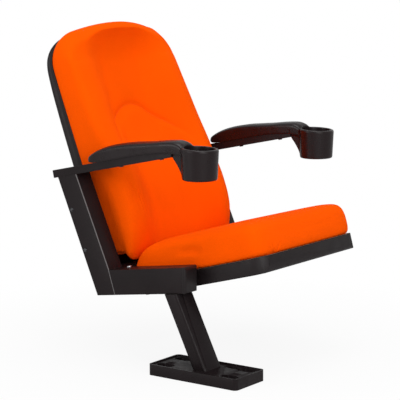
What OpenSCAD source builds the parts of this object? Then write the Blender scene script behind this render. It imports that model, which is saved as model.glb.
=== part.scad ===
// Tip up auditorium seat on one floor-bolted leg, with two armrests that hold cups.
// The seat faces -Y, +X is the far standard and +Z is up.
// The origin is the centre of the foot's bolt pattern, on the floor.

/* [Row] */
// Gap between the seat's sides and the hinge boxes
seat_side_gap = 15; // [12:1:40]
// Gap between the back cushion's sides and the uprights
back_side_gap = 15; // [12:1:40]

/* [Foot] */
// Length of the foot plate, front to back
foot_l = 290; // [270:1:320]
// Width of the foot plate
foot_w = 136; // [128:1:150]
// Thickness of the foot plate
foot_t = 30; // [24:1:36]
// Radius of the foot's corners
foot_corner_r = 12; // [8:1:22]
// Spacing of the anchor holes, front to back
anchor_span_l = 210; // [190:1:216]
// Spacing of the anchor holes, side to side
anchor_span_w = 80; // [76:1:86]
// Radius of an anchor hole
anchor_r = 6.5; // [5:0.5:7]

/* [Leg] */
// Width of the leg tube
leg_w = 74; // [68:1:80]
// Depth of the leg tube, square to its length
leg_d = 40; // [36:1:46]
// Wall of the leg tube
leg_wall = 3; // [2:0.5:4]
// Lean of the leg from upright, in degrees
leg_lean = 26; // [22:1:28]

/* [Standards] */
// Width of the hinge boxes and uprights
post_w = 60; // [56:1:64]
// Wall of the hinge boxes, uprights and arm bars
post_wall = 3; // [2:0.5:4]
// Depth of an upright, square to its length
upright_d = 67; // [60:1:70]
// Lean of the uprights from upright, in degrees
upright_lean = 23.3; // [22:0.1:24]
// Height of a hinge box, square to its length
box_h = 70; // [68:1:76]
// Rise of the hinge boxes towards the front, in degrees
box_rise = 7.8; // [6:0.1:9]
// Distance of the hinge box's front end behind the bolt pattern's centre
box_front_y = 57; // [50:1:62]
// Height of the hinge box's lower front edge
box_front_z = 227.4; // [224:1:240]
// Thickness of the moulded cap on the front of a hinge box
box_cap_t = 10; // [6:1:14]

/* [Arms] */
// Thickness of an arm bar
bar_t = 22; // [18:1:24]
// Rise of the arm bars towards the front, in degrees
bar_rise = 11.9; // [11:0.1:13]
// Distance of the arm bar's front end behind the bolt pattern's centre
bar_front_y = 89.5; // [86:1:94]
// Height of the arm bar's underside at its front end
bar_front_z = 592.8; // [585:1:600]
// Length of an arm bar behind its upright
bar_tail = 12.1; // [8:0.1:20]
// Width of the armrest
armrest_w = 66; // [64:1:70]
// Height that an armrest's middle stands above its side edges
armrest_crown = 6; // [3:1:9]
// Distance of the cup holder's axis behind the bolt pattern's centre
cup_y = 18; // [10:1:22]
// Height of the cup holder's underside
cup_z = 534; // [530:1:540]
// Outer height of the cup holder
cup_h = 82; // [76:1:88]
// Outer radius of the cup holder at its base
cup_base_r = 47.5; // [46:0.5:50]
// Outer radius of the cup holder at its rim
cup_rim_r = 51; // [49:0.5:54]
// Radius of the cup's well at its mouth
well_r = 42; // [38:1:44]
// Draught of the cup's wall and well, in degrees
well_draught = 2; // [1:0.5:3]
// Thickness of the cup holder's floor
cup_floor = 5; // [4:1:8]
// Climb of the cup's rim towards the rear
rim_climb = 3; // [1:0.5:5]

/* [Seat] */
// Width of the seat
seat_w = 490; // [470:1:492]
// Rise of the seat towards the front, in degrees
seat_rise = 15; // [12:1:17]
// Angle that the seat tips up by, in degrees
tip_angle = 65; // [50:1:70]
// Distance of the seat's pivot behind the bolt pattern's centre
pivot_y = 145.4; // [142:0.1:150]
// Height of the seat's pivot
pivot_z = 244.3; // [243:0.1:247]
// Reach of the seat in front of its pivot
seat_front = 312; // [290:1:320]
// Reach of the seat behind its pivot, as a radius about the pivot
seat_rear_r = 141; // [132:1:142]
// Depth of the pan's underside below the pivot
pan_below = 30; // [28:1:34]
// Height of the pan's rim above the pivot
pan_above = 14.5; // [12:0.5:16]
// Wall of the pan
pan_wall = 3; // [2:0.5:4]
// Distance that the pan's underside is set back from its rim at the front
pan_setback = 9; // [6:1:14]
// Radius of the seat's corners in plan
seat_corner_r = 60; // [40:1:70]
// Thickness of the seat cushion
seat_cushion_t = 96; // [80:1:104]
// Thickness of the boards under the cushions
board_t = 11; // [9:1:12]

/* [Pivot] */
// Radius of a pivot pin
pin_r = 8; // [7:0.5:9]
// Radial running clearance of a pivot pin in its bush
pin_play = 0.05; // [0.02:0.01:0.08]
// Wall of a pivot bush
bush_wall = 2.5; // [2:0.5:3]
// Wall of the housing round a bush
housing_wall = 3; // [2:0.5:4]
// Wire thickness of a return spring
spring_wire = 3.5; // [3:0.5:4]
// Turns of a return spring
spring_turns = 5; // [4:1:6]
// Radius of a stop pin
stop_r = 5; // [4:0.5:6]
// Distance of the stop pin from the pivot
stop_arm = 28; // [27:1:29]

/* [Backrest] */
// Distance of the backrest's lower edge in front of the uprights' rear faces
back_set = 24.3; // [20:0.1:28]
// Height of the backrest's lower edge
back_foot_z = 290; // [288:1:296]
// Lean of the backrest, in degrees
back_lean = 21.3; // [20:0.1:22.5]
// Straight length of the backrest
back_straight = 540; // [500:1:560]
// Length of the rolled top of the backrest
back_top_l = 146; // [130:1:152]
// Turn of the rolled top, in degrees
back_top_turn = 66; // [54:1:68]
// Depth of the cushion at its side bolsters
bolster_t = 130; // [116:1:134]
// Depth of the cushion at its middle
centre_t = 46; // [40:1:60]
// Radius of the backrest's top corners
back_corner_r = 74; // [60:1:90]
// Depth of the rear shell at its foot
shell_t = 50; // [44:1:54]
// Wall of the rear shell
shell_wall = 3; // [2.5:0.5:4]
// Distance that the shell stays inside the cushion's sides
shell_inset = 6; // [4:1:10]

/* [Cross tube] */
// Gap between the arc of the seat's rear and the cross tube
cross_gap = 19.6; // [14:0.1:40]
// Distance of the cross tube's axis in front of the uprights' middle
cross_set = 12.2; // [10:0.1:14]
// Height of the cross tube's axis
cross_z = 242; // [240:1:244]
// Outer side of the square cross tube
cross_d = 40; // [36:1:42]
// Wall of the cross tube
cross_wall = 2.5; // [2:0.5:3]
// Thickness of its end flanges
flange_t = 4; // [3:1:5]

/* [Hidden] */

// Overrun of every cut past the face that it opens
over = 1;
// Gap that a soft piece keeps to what it lies on
soft_gap = 0.3;
// Play of a screw or bolt in its hole
bolt_play = 0.3;
// Straight length left between the two round ends of a short slot
end_flat = 0.5;
// Smoothness of round features
round_fn = 48;

// Steel black, moulded black, fabric and small metal colours
steel_colour = [0.10, 0.10, 0.11];
mould_colour = [0.15, 0.15, 0.16];
fabric_colour = [1.00, 0.36, 0.02];
zinc_colour = [0.75, 0.76, 0.78];
ply_colour = [0.76, 0.60, 0.40];
nylon_colour = [0.90, 0.89, 0.84];
rubber_colour = [0.06, 0.06, 0.06];

// Distance between the centre lines of the two standards
arm_pitch = seat_w + 2 * seat_side_gap + post_w;
// Centre of the seat between the standards
mid_x = arm_pitch / 2;
back_w = arm_pitch - post_w - 2 * back_side_gap;
// The cross tube lies behind the seat's rear arc
cross_y = pivot_y + seat_rear_r + cross_gap + cross_d / 2;

// Height of the hinge box's underside at a distance y behind the origin
function box_floor_z(y) = box_front_z - (y - box_front_y) * tan(box_rise);
// Upright height of the hinge box, measured plumb
box_plumb = box_h / cos(box_rise);
// Depth of the upright, measured along the floor
upright_run = upright_d / cos(upright_lean);
// The upright's lower rear corner, from the cross tube that it carries
upright_foot_y = (cross_y + cross_set + upright_run / 2
    - tan(upright_lean) * (cross_z - box_front_z - box_front_y * tan(box_rise)))
    / (1 + tan(upright_lean) * tan(box_rise));
upright_foot_z = box_floor_z(upright_foot_y);
// The upright's rear and front faces at a height z
function upright_rear_y(z) = upright_foot_y + (z - upright_foot_z) * tan(upright_lean);
function upright_front_y(z) = upright_rear_y(z) - upright_run;
// Height of the arm bar's underside and top at a distance y behind the origin
function bar_floor_z(y) = bar_front_z - (y - bar_front_y) * tan(bar_rise);
bar_plumb = bar_t / cos(bar_rise);
function bar_top_z(y) = bar_floor_z(y) + bar_plumb;
// The arm bar ends behind the head of its upright
upright_head_rear_y = (bar_floor_z(upright_foot_y) - upright_foot_z) * tan(upright_lean)
    / (1 + tan(bar_rise) * tan(upright_lean)) + upright_foot_y;
bar_rear_y = upright_head_rear_y + bar_tail;
back_foot_y = upright_rear_y(back_foot_z) - back_set;

// A number that runs from 0 to 1 with soft ends
function ease(t) = let (c = min(1, max(0, t))) c * c * (3 - 2 * c);
// Straight blend from a to b
function blend(a, b, t) = a + (b - a) * t;
// Power with the sign of its base
function signed_pow(v, p) = sign(v) * pow(abs(v), p);
// Value of an evenly spaced table at t from 0 to 1
function table_at(table, t) =
    let (steps = len(table) - 1,
        at = min(1, max(0, t)) * steps,
        i = min(steps - 1, floor(at)))
    blend(table[i], table[i + 1], at - i);
// The two triangles of a quad, split from a to c, or from b to d
function quad(a, b, c, d, other = false) = other ? [[a, b, d], [b, c, d]] : [[a, b, c], [a, c, d]];

// Slab of a side view outline, given as [y, z] points, centred on x
module side_slab(width, points, x = 0) {
    translate([x - width / 2, 0, 0])
        rotate([90, 0, 90])
            linear_extrude(width)
                polygon(points);
}

// Rectangle with round corners, centred
module round_rect(size_x, size_y, r) {
    square([size_x - 2 * r, size_y], center = true);
    square([size_x, size_y - 2 * r], center = true);
    for (side_x = [-1, 1], side_y = [-1, 1])
        translate([side_x * (size_x / 2 - r), side_y * (size_y / 2 - r)])
            circle(r, $fn = round_fn);
}

// Round bar along +X from x
module x_bar(r, length, x, y, z) {
    translate([x, y, z])
        rotate([0, 90, 0])
            cylinder(h = length, r = r, $fn = round_fn);
}

// Places its children at the near standard, and mirrored at the far one
module at_side(far) {
    translate([far ? arm_pitch : 0, 0, 0])
        mirror([far ? 1 : 0, 0, 0])
            children();
}

// FOOT AND LEG
foot_rim = 6;
foot_recess = 3;
pocket_l = 52;
pocket_w = 28;
pocket_depth = 9;
foot_slot_l = 72;
foot_slot_w = 14;

module foot_plate() {
    color(steel_colour)
    difference() {
        linear_extrude(foot_t)
            round_rect(foot_w, foot_l, foot_corner_r);
        // Shallow tray inside the raised rim
        translate([0, 0, foot_t - foot_recess])
            linear_extrude(foot_recess + over)
                round_rect(foot_w - 2 * foot_rim, foot_l - 2 * foot_rim, foot_corner_r - foot_rim);
        for (side_x = [-1, 1], side_y = [-1, 1])
            translate([side_x * anchor_span_w / 2, side_y * anchor_span_l / 2, 0]) {
                translate([0, 0, -over])
                    cylinder(h = foot_t + 2 * over, r = anchor_r, $fn = round_fn);
                // Oval pocket for the anchor's washer
                translate([0, 0, foot_t - foot_recess - pocket_depth])
                    linear_extrude(foot_recess + pocket_depth + over)
                        round_rect(pocket_w, pocket_l, (pocket_w - end_flat) / 2);
            }
        // Long slot that runs from the front far pocket towards the leg
        translate([anchor_span_w / 2, (foot_slot_l - anchor_span_l) / 2,
            foot_t - foot_recess - pocket_depth])
            linear_extrude(foot_recess + pocket_depth + over)
                round_rect(foot_slot_w, foot_slot_l, (foot_slot_w - end_flat) / 2);
    }
}

leg_corner_r = 7;
leg_base_z = foot_t - foot_recess;
// Where the leg's axis meets the floor of the tray
leg_base_y = -3;
// Straight length that surely passes both ends of the leg
leg_reach = box_front_z * 2;

// Space between the foot's tray and the underside of the hinge box
module leg_room(width) {
    far_y = upright_foot_y;
    side_slab(width, [
        [-far_y, leg_base_z], [far_y, leg_base_z],
        [far_y, box_floor_z(far_y)], [-far_y, box_floor_z(-far_y)]]);
}

module leg_tube() {
    color(steel_colour)
    intersection() {
        translate([0, leg_base_y, leg_base_z])
            rotate([-leg_lean, 0, 0])
                translate([0, 0, -leg_reach / 2])
                    linear_extrude(leg_reach)
                        difference() {
                            round_rect(leg_w, leg_d, leg_corner_r);
                            round_rect(leg_w - 2 * leg_wall, leg_d - 2 * leg_wall, leg_corner_r - leg_wall);
                        }
        difference() {
            leg_room(leg_w + 2 * over);
            leg_recess();
        }
    }
}

leg_flange = 4;
leg_recess_d = 2;
leg_recess_top_w = 24;
leg_recess_foot_w = 7;

// Shallow wedge beside the near flange, wide at the top and narrow at the foot
module leg_recess() {
    length = (box_front_z - leg_base_z) / cos(leg_lean);
    translate([0, leg_base_y, leg_base_z])
        rotate([-leg_lean, 0, 0])
            translate([0, -leg_d / 2 + leg_recess_d, 0])
                rotate([90, 0, 0])
                    linear_extrude(leg_recess_d + over)
                        polygon([
                            [-leg_w / 2 + leg_flange, 0],
                            [-leg_w / 2 + leg_flange + leg_recess_foot_w, 0],
                            [-leg_w / 2 + leg_flange + leg_recess_top_w, length],
                            [-leg_w / 2 + leg_flange, length]]);
}

// STANDARDS
// The joint between box and upright leans by this share of the upright's own lean
seam_top_y = upright_front_y(box_floor_z(upright_foot_y) + box_plumb);
seam_top_z = box_floor_z(seam_top_y) + box_plumb;
seam_share = 0.72;
seam_foot_y = seam_top_y - (seam_top_z - box_floor_z(seam_top_y)) * tan(upright_lean) * seam_share;
seam_foot_z = box_floor_z(seam_foot_y);

bush_r = pin_r + pin_play + bush_wall;
housing_r = bush_r + housing_wall;
bush_flange_r = bush_r + bush_wall;
bush_flange_t = 1.5;
bush_l = 34;
// Inner face of the box's inner wall
box_wall_x = post_w / 2 - post_wall;
// Arc slot for the stop pin, and the rubber that lines its two ends
buffer_t = 3;
slot_play = 0.4;
slot_half_w = stop_r + slot_play;
// Direction of the stop pin from the pivot at rest, in degrees above straight forward
stop_start = 20;
// Angle that the stop pin and the rubber take up at one end of the slot
stop_lead = asin((stop_r + buffer_t + soft_gap) / (2 * stop_arm)) * 2;

// Places its children with X as the pivot axis and the origin on it
module at_pivot(x = 0) {
    translate([x, pivot_y, pivot_z])
        children();
}

// Point at a radius and an angle about the pivot, angle from straight forward and rising
function about_pivot(r, angle) = [pivot_y - r * cos(angle), pivot_z + r * sin(angle)];

box_outline = [
    [box_front_y, box_floor_z(box_front_y)],
    [seam_foot_y, seam_foot_z],
    [seam_top_y, seam_top_z],
    [box_front_y, box_floor_z(box_front_y) + box_plumb]];
box_hollow = [
    [box_front_y - over, box_floor_z(box_front_y) + post_wall],
    [seam_foot_y + over, seam_foot_z + post_wall],
    [seam_top_y + over, seam_top_z - post_wall],
    [box_front_y - over, box_floor_z(box_front_y) + box_plumb - post_wall]];

// Flat ring sector about the pivot, between two angles above straight forward
module stop_sector(r_in, r_out, from, to, x, depth) {
    at_pivot(x)
        rotate([90, 0, 90])
            rotate([0, 0, 180 - to])
                rotate_extrude(angle = to - from, $fn = round_fn * 2)
                    translate([r_in, 0])
                        square([r_out - r_in, depth]);
}

// Angles at which the stop pin's slot begins and ends
slot_from = stop_start - stop_lead;
slot_to = stop_start + tip_angle + stop_lead;

screw_r = 3;
screw_head_r = 6.5;
screw_head_h = 3.5;
box_screw_x = 18;
// Distance of the screw in front of the upright
box_screw_back = 34.5;
box_screw_y = seam_top_y - box_screw_back;
box_screw_l = 12;

cross_bolt_r = 4;
cross_bolt_head_r = 6;
cross_bolt_head_h = 3;
// Length of a bolt's end that stands inside the standard
cross_bolt_end = 4;
flange_edge = 1;
flange_end = 10;
// Distance of a bolt from the tube's axis, clear of the tube's corner
cross_bolt_at = cross_d / 2 * (cos(upright_lean) + sin(upright_lean)) + cross_bolt_head_r + flange_edge;

module hinge_box() {
    color(steel_colour)
    difference() {
        union() {
            difference() {
                side_slab(post_w, box_outline);
                side_slab(post_w - 2 * post_wall, box_hollow);
            }
            // Housing of the pivot bush, welded to the inner wall
            x_bar(housing_r, bush_l, box_wall_x - bush_l + over, pivot_y, pivot_z);
        }
        x_bar(bush_r, bush_l + post_wall + 2 * over, box_wall_x - bush_l, pivot_y, pivot_z);
        // Arc slot of the stop pin
        stop_slot(box_wall_x - over, post_wall + 2 * over);
    }
}

// Slot that the stop pin and its two rubber buffers travel in
module stop_slot(x, depth) {
    stop_sector(stop_arm - slot_half_w, stop_arm + slot_half_w, slot_from, slot_to, x, depth);
}

module stop_buffers() {
    sweep = asin(buffer_t / (2 * stop_arm)) * 2;
    color(rubber_colour)
    for (far = [false, true])
        at_side(far) {
            for (from = [slot_from, slot_to - sweep])
                stop_sector(stop_arm - slot_half_w, stop_arm + slot_half_w, from, from + sweep,
                    box_wall_x, post_wall);
        }
}

// Places its children on top of the near hinge box, square to it
module at_box_screw() {
    translate([box_screw_x, box_screw_y, box_floor_z(box_screw_y) + box_plumb])
        rotate([-box_rise, 0, 0])
            children();
}

module near_hinge_box() {
    color(steel_colour)
    difference() {
        hinge_box();
        at_box_screw()
            translate([0, 0, -box_screw_l])
                cylinder(h = box_screw_l + over, r = screw_r, $fn = round_fn);
    }
}

module far_hinge_box() {
    at_side(true)
        hinge_box();
}

// Screw with a round head, its head seated on z = 0 and its shank below
module round_screw(r, head_r, head_h, length) {
    dome_r = (head_r * head_r + head_h * head_h) / (2 * head_h);
    union() {
        translate([0, 0, -length])
            cylinder(h = length, r = r, $fn = round_fn);
        intersection() {
            translate([0, 0, head_h - dome_r])
                sphere(dome_r, $fn = round_fn);
            cylinder(h = head_h, r = head_r, $fn = round_fn);
        }
    }
}

module box_screw() {
    color(zinc_colour)
    at_box_screw()
        round_screw(screw_r, screw_head_r, screw_head_h, box_screw_l);
}

box_cap_round = 9;
box_cap_chamfer = 3;
box_cap_plug = 12;
box_cap_plug_wall = 2;

// Moulded cap: a rounded front, with a hollow plug that fits inside the box
module box_cap() {
    foot = box_floor_z(box_front_y);
    top = foot + box_plumb;
    front_y = box_front_y - box_cap_t;
    color(mould_colour)
    union() {
        intersection() {
            side_slab(post_w, [
                [box_front_y, foot], [front_y + box_cap_chamfer, foot], [front_y, foot + box_cap_chamfer],
                [front_y, top - box_cap_round],
                for (step = [0:5])
                    [front_y + box_cap_round * (1 - cos(step * 18)),
                        top - box_cap_round + box_cap_round * sin(step * 18)],
                [box_front_y, top]]);
            // Plan outline with rounded vertical edges
            translate([0, box_front_y, foot - over])
                linear_extrude(box_plumb + 2 * over) {
                    translate([-post_w / 2 + box_cap_round, -box_cap_t])
                        square([post_w - 2 * box_cap_round, box_cap_t]);
                    translate([-post_w / 2, -box_cap_t + box_cap_round])
                        square([post_w, box_cap_t - box_cap_round]);
                    for (side = [-1, 1])
                        translate([side * (post_w / 2 - box_cap_round), -box_cap_t + box_cap_round])
                            circle(box_cap_round, $fn = round_fn);
                }
        }
        // Hollow plug
        difference() {
            plug_block(0);
            plug_block(box_cap_plug_wall);
        }
    }
}

// Block that fits inside the box's front end, drawn in by an inset
module plug_block(inset) {
    fit = soft_gap + inset;
    last_y = box_front_y + box_cap_plug + (inset > 0 ? over : 0);
    side_slab(post_w - 2 * post_wall - 2 * fit, [
        [box_front_y, box_floor_z(box_front_y) + post_wall + fit],
        [last_y, box_floor_z(last_y) + post_wall + fit],
        [last_y, box_floor_z(last_y) + box_plumb - post_wall - fit],
        [box_front_y, box_floor_z(box_front_y) + box_plumb - post_wall - fit]]);
}

module near_box_cap() {
    box_cap();
}

module far_box_cap() {
    at_side(true)
        box_cap();
}

upright_head_front_y = upright_head_rear_y
    - upright_run / (1 + tan(bar_rise) * tan(upright_lean));
upright_outline = [
    [upright_foot_y, upright_foot_z],
    [upright_head_rear_y, bar_floor_z(upright_head_rear_y)],
    [upright_head_front_y, bar_floor_z(upright_head_front_y)],
    [seam_top_y, seam_top_z],
    [seam_foot_y, seam_foot_z]];
// The hollow keeps one wall from every side and is open at the top
wall_run = post_wall / cos(upright_lean);
box_wall_plumb = post_wall / cos(box_rise);
hollow_rear_y = upright_foot_y - wall_run;
hollow_rear_z = box_floor_z(hollow_rear_y) + box_wall_plumb;
upright_hollow = [
    [upright_rear_y(hollow_rear_z) - wall_run, hollow_rear_z],
    [upright_head_rear_y - wall_run + over * tan(upright_lean), bar_floor_z(upright_head_rear_y) + over],
    [upright_head_front_y + wall_run, bar_floor_z(upright_head_front_y) + over],
    [seam_top_y + wall_run, seam_top_z],
    [seam_foot_y + wall_run, box_floor_z(seam_foot_y + wall_run) + box_wall_plumb]];

back_bolt_r = 4;
back_bolt_head_r = 6;
back_bolt_head_h = 2.5;
// Heights of the bolts above the backrest's foot
back_bolt_low = 21;
back_bolt_high = 131;
back_bolt_low_z = back_foot_z + back_bolt_low;
back_bolt_high_z = back_foot_z + back_bolt_high;
back_bolt_z = [back_bolt_low_z, back_bolt_high_z];
back_bolt_inset = 11.4;

// Places its children at both back bolts of a standard
module at_back_bolts() {
    for (z = back_bolt_z)
        translate([0, upright_rear_y(z) - back_bolt_inset, z])
            children();
}

// Places its children at both bolts of the cross tube's flange, above and below the tube
module at_cross_bolts() {
    for (side = [-1, 1])
        translate([0, cross_y + side * cross_bolt_at * sin(upright_lean),
            cross_z + side * cross_bolt_at * cos(upright_lean)])
            children();
}

module upright() {
    color(steel_colour)
    difference() {
        side_slab(post_w, upright_outline);
        side_slab(post_w - 2 * post_wall, upright_hollow);
        at_back_bolts()
            x_bar(back_bolt_r + bolt_play, post_w + 2 * over, -post_w / 2 - over, 0, 0);
        at_cross_bolts()
            x_bar(cross_bolt_r + bolt_play, post_wall + 2 * over, box_wall_x - over, 0, 0);
    }
}

module near_upright() {
    upright();
}

module far_upright() {
    at_side(true)
        upright();
}

bar_cap_t = 3;
bar_outline = [
    [bar_front_y, bar_floor_z(bar_front_y)],
    [bar_rear_y, bar_floor_z(bar_rear_y)],
    [bar_rear_y + bar_plumb * sin(bar_rise), bar_top_z(bar_rear_y + bar_plumb * sin(bar_rise))],
    [bar_front_y, bar_top_z(bar_front_y)]];
bar_wall_plumb = post_wall / cos(bar_rise);
bar_hollow = [
    [bar_front_y + post_wall, bar_floor_z(bar_front_y + post_wall) + bar_wall_plumb],
    [bar_rear_y + bar_t, bar_floor_z(bar_rear_y + bar_t) + bar_wall_plumb],
    [bar_rear_y + bar_t, bar_top_z(bar_rear_y + bar_t) - bar_wall_plumb],
    [bar_front_y + post_wall, bar_top_z(bar_front_y + post_wall) - bar_wall_plumb]];
arm_screw_r = 2.5;
arm_screw_head_r = 5;
arm_screw_head_h = 2.5;
arm_screw_bite = 14;
// Places of the armrest's screws, as shares of the armrest's seat on the bar
arm_screw_shares = [0.22, 0.78];
armrest_seat_run = 250;

module at_arm_screws() {
    for (share = arm_screw_shares) {
        y = bar_front_y + share * armrest_seat_run;
        translate([0, y, bar_floor_z(y)])
            rotate([-bar_rise, 0, 0])
                children();
    }
}

module arm_bar() {
    color(steel_colour)
    difference() {
        side_slab(post_w, bar_outline);
        side_slab(post_w - 2 * post_wall, bar_hollow);
        at_arm_screws()
            translate([0, 0, -over])
                cylinder(h = bar_t + 2 * over, r = arm_screw_r + bolt_play, $fn = round_fn);
    }
}

module near_arm_bar() {
    arm_bar();
}

module far_arm_bar() {
    at_side(true)
        arm_bar();
}

// Plug in the rear end of the arm bar
bar_plug_l = 14;

module arm_bar_cap() {
    fit = soft_gap;
    rear_y = bar_rear_y;
    lip = bar_plumb * sin(bar_rise);
    union() {
        side_slab(post_w, [
            [rear_y, bar_floor_z(rear_y)],
            [rear_y + bar_cap_t, bar_floor_z(rear_y + bar_cap_t)],
            [rear_y + lip + bar_cap_t, bar_top_z(rear_y + lip + bar_cap_t)],
            [rear_y + lip, bar_top_z(rear_y + lip)]]);
        side_slab(post_w - 2 * post_wall - 2 * fit, [
            [rear_y - bar_plug_l, bar_floor_z(rear_y - bar_plug_l) + bar_wall_plumb + fit],
            [rear_y + bar_cap_t, bar_floor_z(rear_y + bar_cap_t) + bar_wall_plumb + fit],
            [rear_y + bar_cap_t, bar_top_z(rear_y + bar_cap_t) - bar_wall_plumb - fit],
            [rear_y - bar_plug_l, bar_top_z(rear_y - bar_plug_l) - bar_wall_plumb - fit]]);
    }
}

module arm_bar_caps() {
    color(mould_colour)
    for (far = [false, true])
        at_side(far)
            arm_bar_cap();
}

// ARMREST
// The armrest runs from its rear tip to the cup. Shares of that run, front first,
// with the height of its side edges and of its lower edge above the arm bar's underside line,
// as shares of the bar's plumb height
armrest_reach = 295.5;
armrest_tip_y = bar_front_y + armrest_reach;
// Where the armrest starts, as a share of the cup's radius behind its axis
armrest_root_share = 0.55;
armrest_root_y = cup_y + cup_rim_r * armrest_root_share;
armrest_run = armrest_tip_y - armrest_root_y;
edge_run_shares = [0.00, 0.03, 0.06, 0.10, 0.14, 0.24, 0.36, 0.48,
    0.60, 0.72, 0.82, 0.90, 0.955, 0.985, 1.00];
edge_top_shares = [0.68, 0.86, 1.24, 1.56, 1.72, 1.93, 2.09, 2.30,
    2.50, 2.58, 2.50, 2.30, 2.05, 1.86, 1.62];
edge_foot_shares = [-0.45, -0.22, 0.00, 0.20, 0.36, 0.60, 0.80, 0.86,
    0.86, 0.86, 0.87, 0.94, 1.07, 1.22, 1.42];
edge_width_shares = [0.90, 0.915, 0.93, 0.95, 0.97, 1.00, 1.00, 1.00,
    1.00, 1.00, 1.00, 0.97, 0.90, 0.78, 0.60];
armrest_ring_n = 20;
// Squareness of the armrest's cross section above and below its middle, smaller is squarer
armrest_square_share = 0.34;
armrest_foot_square_share = 0.15;

// One ring of the armrest at station i: a crowned top, upright sides and a flat foot
function armrest_ring(i) =
    let (y = armrest_root_y + edge_run_shares[i] * armrest_run,
        low = bar_floor_z(y) + edge_foot_shares[i] * bar_plumb,
        high = bar_floor_z(y) + edge_top_shares[i] * bar_plumb,
        half = armrest_w / 2 * edge_width_shares[i],
        rise = armrest_crown * edge_width_shares[i],
        mid = (low + high) / 2,
        tall = (high - low) / 2)
    [for (k = [0:armrest_ring_n - 1])
        let (angle = -360 * (k + 0.5) / armrest_ring_n,
            x = half * signed_pow(cos(angle), armrest_square_share),
            square_share = sin(angle) > 0 ? armrest_square_share : armrest_foot_square_share,
            lift = tall * signed_pow(sin(angle), square_share),
            crown = lift > 0 ? rise * (1 - pow(x / half, 2)) * lift / tall : 0)
        [x, y, mid + lift + crown]];

// Skin of a loft through rings that all have n points, closed by flat ends
function loft_faces(rings, n) = concat(
    [[for (k = [0:n - 1]) k]],
    [for (i = [0:rings - 2], k = [0:n - 1])
        let (a = i * n + k, b = i * n + (k + 1) % n)
        each quad(a, a + n, b + n, b)],
    [[for (k = [0:n - 1]) (rings - 1) * n + n - 1 - k]]);

module armrest_body() {
    rings = len(edge_run_shares);
    points = [for (i = [0:rings - 1]) each armrest_ring(i)];
    polyhedron(points = points, faces = loft_faces(rings, armrest_ring_n), convexity = 6);
}

cup_edge_r = 5;
well_floor_r = well_r - (cup_h - cup_floor) * tan(well_draught);
// Height of the space that is cleared above the cup's rim
well_headroom = 30;
neck_w = 52;
neck_reach = 33;
// Height of the web's lower end above the cup's underside
neck_foot = 4;
// Steps of the web's rear edge, and the power of its sweep
neck_steps = 8;
neck_sweep = 1.5;

// Height of the rim's rear above its front
rim_rise = 2 * cup_rim_r * tan(rim_climb);

// Turned body of the cup holder with a rounded foot, cut off by a rim that climbs to the rear
module cup_outer() {
    difference() {
        translate([0, cup_y, cup_z])
            rotate_extrude($fn = round_fn * 2)
                polygon([
                    [0, 0],
                    [cup_base_r - cup_edge_r, 0],
                    for (step = [1:4])
                        [cup_base_r - cup_edge_r + cup_edge_r * sin(step * 22.5),
                            cup_edge_r - cup_edge_r * cos(step * 22.5)],
                    [cup_rim_r, cup_h - cup_edge_r],
                    [cup_rim_r, cup_h + rim_rise],
                    [0, cup_h + rim_rise]]);
        side_slab(2 * cup_rim_r + over, [
            [cup_y - cup_rim_r, cup_z + cup_h],
            [cup_y + cup_rim_r, cup_z + cup_h + rim_rise],
            [cup_y + cup_rim_r, cup_z + cup_h + 2 * rim_rise],
            [cup_y - cup_rim_r - over, cup_z + cup_h + 2 * rim_rise],
            [cup_y - cup_rim_r - over, cup_z + cup_h]]);
    }
}

module cup_well() {
    translate([0, cup_y, cup_z + cup_floor])
        rotate_extrude($fn = round_fn * 2)
            polygon([
                [0, 0],
                [well_floor_r - cup_edge_r, 0],
                [well_floor_r, cup_edge_r],
                [well_r, cup_h - cup_floor],
                [well_r, cup_h + well_headroom],
                [0, cup_h + well_headroom]]);
}

// Web that carries the cup, with a hollow sweep under the arm
module cup_neck() {
    // Where the web's corners leave the round of the cup
    leave_y = cup_y + sqrt(cup_base_r * cup_base_r - neck_w * neck_w / 4);
    foot = cup_z + neck_foot;
    web_top = cup_z + cup_h - cup_edge_r;
    side_slab(neck_w, [
        [cup_y, foot],
        for (step = [0:neck_steps])
            [leave_y + neck_reach * pow(step / neck_steps, neck_sweep),
                blend(foot, bar_floor_z(leave_y + neck_reach), step / neck_steps)],
        [leave_y + neck_reach, web_top],
        [cup_y, web_top]]);
}

module armrest() {
    clear_w = post_w + 2 * soft_gap;
    color(mould_colour)
    difference() {
        union() {
            armrest_body();
            cup_outer();
            cup_neck();
        }
        cup_well();
        // Room for the arm bar
        side_slab(clear_w, [
            [bar_front_y - soft_gap, bar_floor_z(bar_front_y) - bar_plumb],
            [bar_rear_y, bar_floor_z(bar_rear_y) - bar_plumb],
            [bar_rear_y, bar_top_z(bar_rear_y)],
            [bar_front_y - soft_gap, bar_top_z(bar_front_y - soft_gap)]]);
        at_arm_screws()
            cylinder(h = bar_t + arm_screw_bite, r = arm_screw_r, $fn = round_fn);
    }
}

module near_armrest() {
    armrest();
}

module far_armrest() {
    at_side(true)
        armrest();
}

module armrest_screws() {
    color(zinc_colour)
    for (far = [false, true])
        at_side(far)
            at_arm_screws()
                mirror([0, 0, 1])
                    round_screw(arm_screw_r - pin_play, arm_screw_head_r, arm_screw_head_h,
                        bar_t + arm_screw_bite - over);
}

// CROSS TUBE
cross_from = post_w / 2 + flange_t;
cross_corner_r = 4;
cross_inner = cross_d - 2 * cross_wall;
flange_w = cross_d + 2 * flange_edge;
flange_l = 2 * (cross_bolt_at + flange_end);

module cross_tube() {
    color(steel_colour)
    translate([cross_from, cross_y, cross_z])
        rotate([90, 0, 90])
            linear_extrude(arm_pitch - 2 * cross_from)
                difference() {
                    round_rect(cross_d, cross_d, cross_corner_r);
                    round_rect(cross_inner, cross_inner, cross_corner_r - cross_wall);
                }
}

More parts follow.
